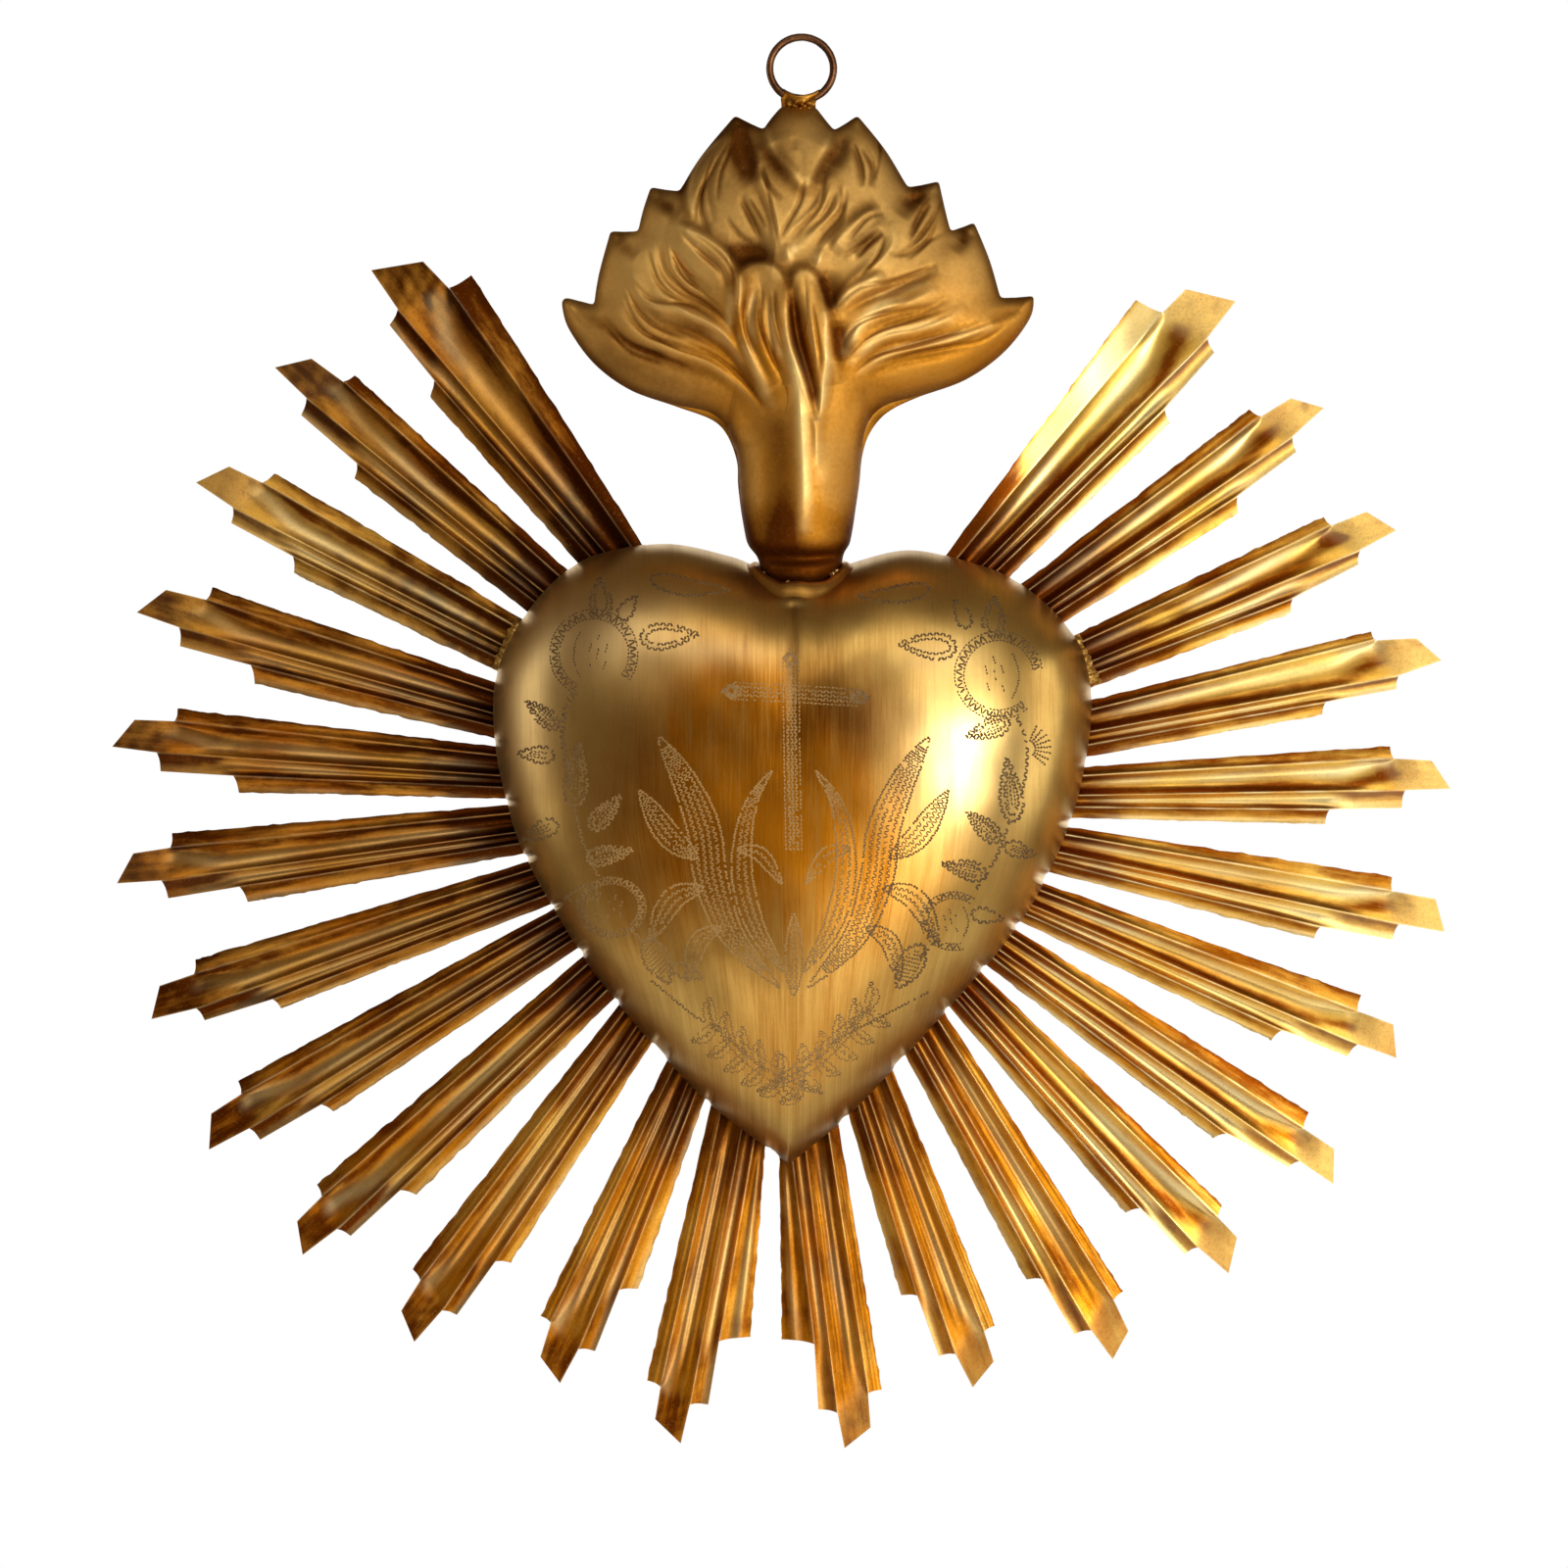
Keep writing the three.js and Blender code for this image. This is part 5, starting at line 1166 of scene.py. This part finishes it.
def edge_field(poly, lam, step=3.0, sigma=10.0):
    """Signed squared height over the outline: it rises steeply at the edge, levels off inwards and has no creases."""
    lo, hi = poly.min(0) - 45, poly.max(0) + 45
    us, vs = np.arange(lo[0], hi[0], step), np.arange(lo[1], hi[1], step)
    g = np.stack(np.meshgrid(us, vs, indexing="ij"), -1).reshape(-1, 2)
    d, c = np.full(len(g), 1e9), np.zeros(len(g), bool)
    for a, b in zip(poly, np.roll(poly, -1, 0)):
        e, w = b - a, g - a
        k = np.clip((w @ e) / (e @ e), 0, 1)
        q = w - k[:, None] * e
        d = np.minimum(d, (q * q).sum(1))
        if a[1] != b[1]:
            c ^= ((a[1] > g[:, 1]) != (b[1] > g[:, 1])) & (g[:, 0] < e[0] * (g[:, 1] - a[1]) / e[1] + a[0])
    d = np.sqrt(d) * np.where(c, 1.0, -1.0)
    F = (np.sign(d) * 2 * lam**2 * (1 - np.exp(-np.abs(d) / lam))).reshape(len(us), len(vs))
    D = d.reshape(len(us), len(vs))
    n = int(3 * sigma / step)
    kern = np.exp(-0.5 * (np.arange(-n, n + 1) * step / sigma) ** 2)
    kern /= kern.sum()
    F = np.apply_along_axis(lambda r: np.convolve(np.pad(r, n, "edge"), kern, "valid"), 0, F)
    F = np.apply_along_axis(lambda r: np.convolve(np.pad(r, n, "edge"), kern, "valid"), 1, F)

    def at(table, px):
        x, y = (px[..., 0] - us[0]) / step, (px[..., 1] - vs[0]) / step
        i, j = np.clip(x.astype(int), 0, len(us) - 2), np.clip(y.astype(int), 0, len(vs) - 2)
        a, b = x - i, y - j
        return (table[i, j] * (1 - a) + table[i + 1, j] * a) * (1 - b) + (table[i, j + 1] * (1 - a) + table[i + 1, j + 1] * a) * b

    R = 0.5 * np.sign(D) * 2 * lam**2 * (1 - np.exp(-np.abs(D) / lam))
    F = 0.5 * (F + R + np.sqrt((F - R) ** 2 + (0.04 * lam) ** 4))
    return lambda px: (at(F, px), at(D, px))


def flame_base(px, t, h, share, field):
    x, v = gx(px[..., 0]), px[..., 1]
    sx, sr = stem_at(v)
    dx = x - gx(sx)
    sq, d = field(px)
    round_in = np.exp(-(((px[..., 0] - 814) / 120) ** 2 + ((v - 370) / 130) ** 2))
    body = np.sqrt(np.clip(sq, 0, None)) * UNIT * h / 14.0 * (0.72 + 0.34 * round_in)
    st = np.minimum(sr, 14.2) * np.sqrt(np.clip(1 - (dx / sr) ** 2, 0, None)) * share
    k = smooth(385, 485, v)
    return np.where(t >= 1, 0.0, body * (1 - k) + st * k).clip(0.0, None)


def flame(front):
    n, m = (760, 130) if front else (520, 40)
    whole = flame_outline(n)
    inset, lug = tucked(whole)
    o = inset if front else whole
    t = 1 - (1 - np.linspace(0, 1, m)) ** 1.25
    px = FC + (o - FC)[:, None] * t[None, :, None]
    T = np.broadcast_to(t[None], px.shape[:2])
    rim = flame_outline(420)
    field = edge_field(tucked(rim)[0] if front else rim, 38.0)
    depth = np.clip(field(px)[1], 0, None)
    h = flame_base(px, T, 14.0 if front else 8.0, 1.0 if front else 0.78, field)
    flat = px.reshape(-1, 2)
    add, hollow = flame_relief(flat)
    add, hollow = add.reshape(T.shape), hollow.reshape(T.shape)
    # the folds are deeper on both shoulders of the flame
    crisp = 1 + 0.42 * np.exp(-(((px[..., 0] - 668) / 72) ** 2 + ((px[..., 1] - 272) / 66) ** 2)) + 0.25 * np.exp(-(((px[..., 0] - 925) / 80) ** 2 + ((px[..., 1] - 262) / 70) ** 2)) + 0.20 * np.exp(-(((px[..., 0] - 812) / 90) ** 2 + ((px[..., 1] - 185) / 60) ** 2))
    add, hollow = add * crisp, hollow * crisp
    fade = smooth(0.0, 16.0, depth)
    X, Z = gx(px[..., 0]), gz(px[..., 1])
    W, W2 = Wobble(71), Wobble(72)
    h = h + (0.98 * add + 0.5 * swell(px)) * fade * (1.0 if front else 0.3) + (0.10 * W(X, 0, Z, 11.0) + 0.14 * W2(X, 0, Z, 28.0)) * fade
    # a crease under the bulb at the stem's foot, which dips in its middle
    arc = np.clip(1 - ((px[..., 0] - 815) / 52) ** 2, 0, 1)
    crease = np.exp(-(((px[..., 1] - 564 - 7 * arc) / 7.0) ** 2)) * np.sqrt(arc) * (1.0 if front else 0.0)
    h = np.maximum(h - 2.5 * crease, 0.0) + 0.18
    if not front:
        h = h + 0.20 * lug[:, None] * smooth(0.80, 1.0, T)
    sgn = -1 if front else 1
    # the metal is brown with patina in the hollows and darker along the edge; painted shade darkens the top, the bulb's
    # underside, the crease at the stem's foot and the DUSK strokes; some patches are painted lighter; painted
    # highlights lie on the ridges and along the SHINE strokes
    U, V = px[..., 0], px[..., 1]
    stem = smooth(425, 470, V)
    shine, dusk = painted(flat, SHINE).reshape(T.shape), painted(flat, DUSK).reshape(T.shape)
    foot = np.exp(-(((U - 815) / 20) ** 2 + ((V - 108) / 13) ** 2))
    sunk = np.where(hollow > 0, hollow / (1 + 0.5 * np.maximum(hollow, 0)), np.maximum(hollow, -0.3))
    shade = 0.02 + 0.80 * sunk + 0.62 * np.exp(-((depth / 7.0) ** 2)) * (1 - foot) + 0.12 * W2(X, 2, Z, 40.0) + 0.58 * smooth(498, 548, V) + 0.4 * smooth(556, 582, V) + 0.30 * np.exp(-(((V - 573) / 9) ** 2)) - 0.26 * np.exp(-(((U - 838) / 18) ** 2 + ((V - 544) / 13) ** 2))
    shade = shade - 0.16 * stem * smooth(832, 846, U) * smooth(545, 520, V) - 0.46 * np.exp(-(((U - 678) / 56) ** 2 + ((V - 274) / 58) ** 2)) - 0.20 * np.exp(-(((U - 965) / 64) ** 2 + ((V - 335) / 40) ** 2))
    shade = np.clip((shade + 0.22 * smooth(270, 150, V) + 0.06 * foot + dusk + 0.40 * crease) * (1 - 0.75 * shine), 0, 1)
    glow = np.clip(np.clip(-hollow * 0.6, 0, 0.3) + 0.8 * shine, 0, 1)
    warm = 0.08 + 0.8 * smooth(240, 370, V) * (0.35 + 0.65 * smooth(660, 760, U)) + 0.3 * np.clip(hollow, 0, 1) + 0.2 * smooth(0.08, 0.0, 1 - T) - 0.35 * stem * smooth(786, 764, U) * smooth(560, 530, V) - 0.30 * stem * smooth(832, 850, U) * smooth(550, 520, V) + 0.6 * foot + 0.25 * shine + 0.55 * smooth(505, 548, V)
    p = Patch()
    g = np.stack([X, sgn * h, Z], -1)
    p.grid(g, wrap=True, flip=not front, shade=shade if front else np.clip(0.16 + 0.50 * np.clip(hollow, -0.2, 0.8) + 0.45 * np.exp(-((depth / 8.0) ** 2)) + 0.16 * W2(X, 5, Z, 26.0) + 0.25 * smooth(520, 580, V), 0, 1), glow=glow if front else 0.0, warm=np.clip(warm if front else 0.34 + 0.25 * W(X, 3, Z, 34.0), 0, 1))
    # the rolled edge at the seam, amber; on the back half it is painted lighter under the wings, where it shows, as a
    # painted reflection
    e = g[:, -1]
    inn = np.stack([gx(inset[:, 0]), np.full(n, sgn * 0.01), gz(inset[:, 1])], -1)
    d = (FC - o) / np.linalg.norm(FC - o, axis=1)[:, None]
    inn2 = inn.copy()
    inn2[:, 0] += d[:, 0] * 1.2
    inn2[:, 2] -= d[:, 1] * 1.2
    p.grid(np.stack([e, inn, inn2], 1), wrap=True, flip=not front, shade=np.repeat((0.7 if front else 0.7 - 0.45 * np.clip(lug / 4.0, 0, 1)) * np.ones(n), 3).reshape(n, 3), glow=0.0, warm=1.0)
    return p


# ---------------------------------------------------------------- small pieces
def tube_ring(p, centre, R, r, seed, n=220, m=24):
    W = Wobble(seed)
    a = np.linspace(0, 2 * np.pi, n, endpoint=False)
    b = np.linspace(0, 2 * np.pi, m + 1)
    A, B = np.meshgrid(a, b, indexing="ij")
    rr = r * (1 + 0.035 * W(np.cos(A) * 9, 0, np.sin(A) * 9, 6.0) + 0.02 * W(np.cos(A) * 9, B, np.sin(A) * 9, 1.7))
    RR = R * (1 + 0.008 * np.cos(2 * A + 0.4)) + rr * np.cos(B)
    g = np.stack([centre[0] + RR * np.cos(A), centre[1] + rr * np.sin(B), centre[2] + RR * np.sin(A)], -1)
    sh = np.clip(0.35 + 0.25 * W(np.cos(A) * 9, 1, np.sin(A) * 9, 7.0) - 0.3 * np.cos(B), 0, 1)
    p.grid(g, wrap=True, flip=True, shade=sh, glow=0.0)


def ring_solder():
    """Solder that follows the inside of the ring's foot, flares up along the wire and runs out over the flame's tip."""
    p = Patch()
    W, W2 = Wobble(91), Wobble(92)
    v = np.array([97.2, 97.25, 97.4, 97.8, 98.7, 100.2, 102.6, 105.5, 109, 113, 117, 121])
    r = np.array([0.02, 1.7, 3.1, 4.1, 4.6, 4.66, 4.30, 4.05, 4.2, 4.5, 4.6, 0.02])
    k, s = np.linspace(0, 1, len(v)), np.linspace(0, 1, 64)
    a = np.linspace(0, 2 * np.pi, 84, endpoint=False)
    A, V = np.meshgrid(a, np.interp(s, k, v), indexing="ij")
    R = np.broadcast_to(np.interp(s, k, r)[None], A.shape)
    run = smooth(103, 108, V)
    bump = 1 + 0.05 * W(np.cos(A) * 4, np.sin(A) * 4, V * 0.3, 4.5)
    X = gx(814.8 + 2.6 * smooth(105, 98, V)) + R * np.cos(A) * bump
    across = np.clip((X - gx(818)) / UNIT, -24, 24)
    lift = (28.2 - np.sqrt(28.2**2 - across**2)) * smooth(105.5, 97.5, V)
    Y = R * np.sin(A) * (0.46 - 0.06 * run) * bump * (1 + 0.34 * run * W2(X, 0, V * 0.24, 2.6))
    Z = gz(V - lift) + 0.12 * W(np.cos(A) * 4, np.sin(A) * 4, 2, 5.0)
    g = np.stack([X, Y, Z], -1)
    dark = np.exp(-((((X - gx(810)) / UNIT) / 9) ** 2 + ((V - 107) / 4.5) ** 2))
    p.grid(g, wrap=True, flip=False, shade=np.clip(0.42 + 0.34 * W(X, Y, Z, 2.4) + 0.40 * dark + 0.25 * smooth(100, 97, V), 0, 1), glow=0.0, warm=0.85)
    return p


def neck_collar():
    """A lip that follows the heart's cleft around the flame's neck."""
    n = 200
    W = Wobble(101)
    phi = np.linspace(0, 2 * np.pi, n, endpoint=False)
    prof = [(7.9, -2.6), (9.0, -1.6), (9.7, -0.6), (9.82, 0.4), (9.94, 1.0), (10.26, 1.42), (10.75, 1.58), (11.3, 1.44), (11.8, 1.05), (12.2, 0.58), (12.55, 0.16), (13.0, -0.12), (13.8, -0.5)]
    cx = gx(816.5)
    rows = []
    for rho, off in prof:
        rr = rho + 0.18 * W(np.cos(phi) * 12, 0, np.sin(phi) * 12, 9.0)
        x, y = cx + rr * np.cos(phi), rr * np.sin(phi)
        lo, hi = np.full(n, float(gz(672))), np.full(n, float(gz(540)))
        yy = np.minimum(y, RIM_Y - 0.4)
        for _ in range(40):
            midz = (lo + hi) / 2
            inside = dome_y(x, midz, off, 0.0) <= yy
            lo = np.where(inside, midz, lo)
            hi = np.where(inside, hi, midz)
        z = (lo + hi) / 2 + 0.10 * W(np.cos(phi) * 12, rho, np.sin(phi) * 12, 5.0)
        rows.append(np.stack([x, y, z], -1))
    g = np.stack(rows, 1)
    p = Patch()
    # dark on the inner skirt in the gap under the bulb, which is painted shade, and a painted highlight along the lip's
    # upper edge
    prof_sh = np.array([0.9, 0.95, 1.0, 0.95, 0.70, 0.28, 0.08, 0.08, 0.16, 0.32, 0.46, 0.42, 0.36])
    p.grid(g, wrap=True, flip=True, shade=np.broadcast_to(prof_sh[None], (n, len(prof))), glow=np.broadcast_to(np.exp(-((np.arange(len(prof)) - 5.5) / 1.0) ** 2)[None] * 0.42, (n, len(prof))), warm=0.55)
    # grains of solder on the lip
    r = np.random.default_rng(5)
    for a, s in ((-0.62, 0.95), (-0.47, 0.6), (-1.86, 0.6), (-2.62, 0.45)):
        j = int((a % (2 * np.pi)) / (2 * np.pi) * n) % n
        c = g[j, 4] + np.array([0, -0.1, 0.1])
        blob(p, c, s, r, 12, 18, 0.28)
    return p


def blob(p, c, s, r, m=8, n=12, shade=0.1, stretch=(1, 1, 1)):
    W = Wobble(int(r.integers(1, 9999)))
    th, ph = np.meshgrid(np.linspace(0, 2 * np.pi, n, endpoint=False), np.linspace(0.001, np.pi - 0.001, m), indexing="ij")
    d = np.stack([np.cos(th) * np.sin(ph), np.sin(th) * np.sin(ph), np.cos(ph)], -1)
    rad = s * (1 + 0.25 * W(d[..., 0], d[..., 1], d[..., 2], 1.6))
    # light grains get a painted glint
    p.grid(np.asarray(c) + d * rad[..., None] * np.asarray(stretch), wrap=True, shade=shade, glow=0.4 * (shade < 0.3))


def fillet(side, width, seed):
    """A granular run of solder between the heart's edge and the third ray."""
    q = RAYS[side][2]
    r = np.random.default_rng(seed)
    p = Patch()
    W = Wobble(seed)
    a, b = np.array(q[0], float), np.array(q[9], float)
    d = np.array(q[4], float) - (a + b) / 2
    d /= np.linalg.norm(d)
    n, m = 90, 14
    k, s = np.meshgrid(np.linspace(0.0, 1.0, n), np.linspace(0, 1, m), indexing="ij")
    wpx = width / UNIT
    off = -4 + (wpx + 3.5 + 1.1 * W(k * 30, 0, 0, 4.0)) * s
    u = a[0] + (b[0] - a[0]) * k + d[0] * off
    v = a[1] + (b[1] - a[1]) * k + d[1] * off
    end = np.clip(np.sin(np.pi * np.clip(k, 0.02, 0.98)) * 4, 0, 1)
    top = 7.4 + 2.55 * s**1.4 + 0.13 * W(k * 60, s * 6, 0, 4.2) + 0.05 * W(k * 60, s * 6, 4, 1.9) + (1 - end) * 1.6
    g = np.stack([gx(u, 9.5), top, gz(v, 9.5)], -1)
    p.grid(g, flip=(side == "left"), shade=np.clip(0.26 + 0.22 * W(k * 60, s * 8, 0, 4.0), 0, 1), glow=np.clip(0.10 + 0.3 * W(k * 60, s * 8, 9, 3.0), 0, 1))
    bk = g.copy()
    bk[..., 1] = 9.95
    p.grid(bk, flip=(side == "right"), shade=0.7, glow=0.0)
    for e in (g[0], g[-1]):
        w = e.copy()
        w[:, 1] = 9.95
        p.grid(np.stack([e, w], 1), shade=0.6, glow=0.0)
    for e in (g[:, 0], g[:, -1]):
        w = e.copy()
        w[:, 1] = 9.95
        p.grid(np.stack([e, w], 1), shade=0.6, glow=0.0)
    for _ in range(9):
        i, j = int(r.integers(4, n - 4)), int(r.integers(5, m - 2))
        blob(p, g[i, j], r.uniform(0.16, 0.32), r, 8, 12, 0.32)
    return p


def back_plate():
    n, m = 420, 60
    th = np.linspace(0, 2 * np.pi, n, endpoint=False)
    R = ring_at(R_TRUE, th) * (1 + (12.6 - 9.4) / VIEW) - 2.0
    W = Wobble(131)
    t = np.linspace(0, 1, m)
    T, A = np.meshgrid(t, th, indexing="xy")
    X = HC[0] + T * R[:, None] * np.cos(A)
    Z = HC[1] + T * R[:, None] * np.sin(A)
    back = 13.26 + (0.22 * W(X, 0, Z, 40.0) + 0.05 * W(X, 1, Z, 15.0)) * smooth(1, 0.88, T) - 0.18 * smooth(0.985, 1.0, T)
    p = Patch()
    shade = np.clip(0.18 + 0.20 * W(X, 4, Z, 50.0) + 0.30 * smooth(0.90, 1.0, T), 0, 1)
    p.grid(np.stack([X, back, Z], -1), wrap=True, shade=shade, glow=0.0, warm=np.clip(0.34 + 0.30 * W(X, 8, Z, 44.0), 0, 1), across=X, along=Z)
    front = np.full_like(X[:, ::6], 12.6)
    p.grid(np.stack([X[:, ::6], front, Z[:, ::6]], -1), wrap=True, flip=True, shade=0.6, glow=0.0)
    e = np.stack([X[:, -1], back[:, -1], Z[:, -1]], -1)
    f = e.copy()
    f[:, 1] = 12.6
    p.grid(np.stack([e, f], 1), wrap=True, shade=0.7, glow=0.0)
    return p


# ---------------------------------------------------------------- put together
for side in ("left", "right"):
    for i in range(12):
        ray(side, i, MAT_RAY)

place(heart_front().build("heart_front", MAT_HEART), "heart_front_shell", slot="heart")
ornament()
place(cut_lines().build("heart_ornament", MAT_CUT), slot="heart")
place(back_plate().build("heart_back", MAT_BACK), "heart_back_plate", slot="back")
place(flame(True).build("flame_front", MAT_FLAME), "flame_front_shell", slot="flame")
place(flame(False).build("flame_back", MAT_FLAME_BACK), "flame_back_shell", slot="back")
place(neck_collar().build("collar_lip", MAT_HEART), "neck_collar", slot="heart")
_p = Patch()
tube_ring(_p, (float(gx(818)), 0.0, float(gz(70))), 7.74, 0.92, 61)
place(_p.build("ring_wire", MAT_RING), "hanging_ring", slot="ring")
place(ring_solder().build("ring_bead", MAT_SOLDER), "ring_solder", slot="solder")
place(fillet("left", 1.6, 201).build("fillet_left", MAT_SOLDER), "solder_fillet_left", slot="solder")
place(fillet("right", 2.0, 202).build("fillet_right", MAT_SOLDER), "solder_fillet_right", slot="solder")

# ---------------------------------------------------------------- studio
scene = bpy.context.scene
scene.view_settings.view_transform = "Standard"
scene.view_settings.look = "None"

world = bpy.data.worlds.new("studio")
scene.world = world
world.use_nodes = True
wt = world.node_tree
wt.nodes.clear()
wo = wt.nodes.new("ShaderNodeOutputWorld")
wm = wt.nodes.new("ShaderNodeMixShader")
lp = wt.nodes.new("ShaderNodeLightPath")
dim = wt.nodes.new("ShaderNodeBackground")
dim.inputs[0].default_value = (1.0, 0.66, 0.40, 1.0)
dim.inputs[1].default_value = 0.13
pale = wt.nodes.new("ShaderNodeBackground")
pale.inputs[0].default_value = (1.0, 1.0, 1.0, 1.0)
pale.inputs[1].default_value = 1.0
wt.links.new(lp.outputs["Is Camera Ray"], wm.inputs[0])
wt.links.new(dim.outputs[0], wm.inputs[1])
wt.links.new(pale.outputs[0], wm.inputs[2])
wt.links.new(wm.outputs[0], wo.inputs[0])

TARGET = np.array([-0.00456, 0.0, -0.182])


def softbox(name, az, el, dist, w, h, power, color=(1, 1, 1)):
    a, e = math.radians(az), math.radians(el)
    d = np.array([math.sin(a) * math.cos(e), -math.cos(a) * math.cos(e), math.sin(e)])
    light = bpy.data.lights.new(name, "AREA")
    light.shape = "RECTANGLE"
    light.size, light.size_y = w, h
    light.energy = power
    light.color = color
    ob = bpy.data.objects.new(name, light)
    scene.collection.objects.link(ob)
    ob.location = TARGET + d * dist
    z = d
    x = np.cross([0, 0, 1.0], z)
    x /= np.linalg.norm(x)
    y = np.cross(z, x)
    from mathutils import Matrix

    ob.rotation_euler = Matrix(((x[0], y[0], z[0]), (x[1], y[1], z[1]), (x[2], y[2], z[2]))).to_euler()
    return ob


softbox("key", 26, 3, 1.5, 0.72, 1.2, 6.6, (1.0, 0.95, 0.85))
softbox("key_core", 30, -1, 1.45, 0.18, 0.30, 4.4, (1.0, 0.97, 0.90))
softbox("top", 4, 38, 1.4, 1.7, 0.42, 4.2, (1.0, 0.95, 0.87))
softbox("low", 6, -36, 1.4, 1.5, 0.5, 5.0, (1.0, 0.94, 0.84))
softbox("left", -84, 6, 1.4, 0.5, 1.2, 2.6, (1.0, 0.95, 0.88))
softbox("right_side", 76, 3, 1.4, 0.7, 1.2, 4.4, (1.0, 0.95, 0.88))
softbox("back", 180, 10, 1.6, 2.1, 1.4, 9.0, (1.0, 0.97, 0.92))
softbox("back_side", 140, -6, 1.5, 0.9, 1.1, 1.9, (1.0, 0.96, 0.90))

# a plain pale floor, below the view
fm = bpy.data.materials.new("floor_pale")
fm.use_nodes = True
fb = fm.node_tree.nodes["Principled BSDF"]
ft = fm.node_tree.nodes.new("ShaderNodeTexNoise")
ft.inputs["Scale"].default_value = 30.0
fr = fm.node_tree.nodes.new("ShaderNodeMapRange")
fr.inputs["To Min"].default_value = 0.90
fr.inputs["To Max"].default_value = 0.94
fm.node_tree.links.new(ft.outputs["Fac"], fr.inputs["Value"])
fm.node_tree.links.new(fr.outputs[0], fb.inputs["Base Color"])
fb.inputs["Roughness"].default_value = 0.9
fb.inputs["Emission Color"].default_value = (1.0, 0.99, 0.97, 1.0)
fb.inputs["Emission Strength"].default_value = 0.40
a = np.linspace(0, 2 * np.pi, 96, endpoint=False)
fv = [(0, 0, -430)] + [(350 * math.cos(t), 350 * math.sin(t), -430) for t in a]
floor = mesh_object("floor", fv, [(0, i + 1, (i + 1) % 96 + 1) for i in range(96)], material=fm)

cam = bpy.data.cameras.new("camera")
cam.lens, cam.sensor_width = 150.0, 36.0
cam.sensor_fit = "HORIZONTAL"
cam.clip_end = 20.0
co = bpy.data.objects.new("camera", cam)
scene.collection.objects.link(co)
co.location = (-0.00456, -1.6, -0.18192)
co.rotation_euler = (math.pi / 2, 0, 0)
scene.camera = co

bpy.context.view_layer.update()
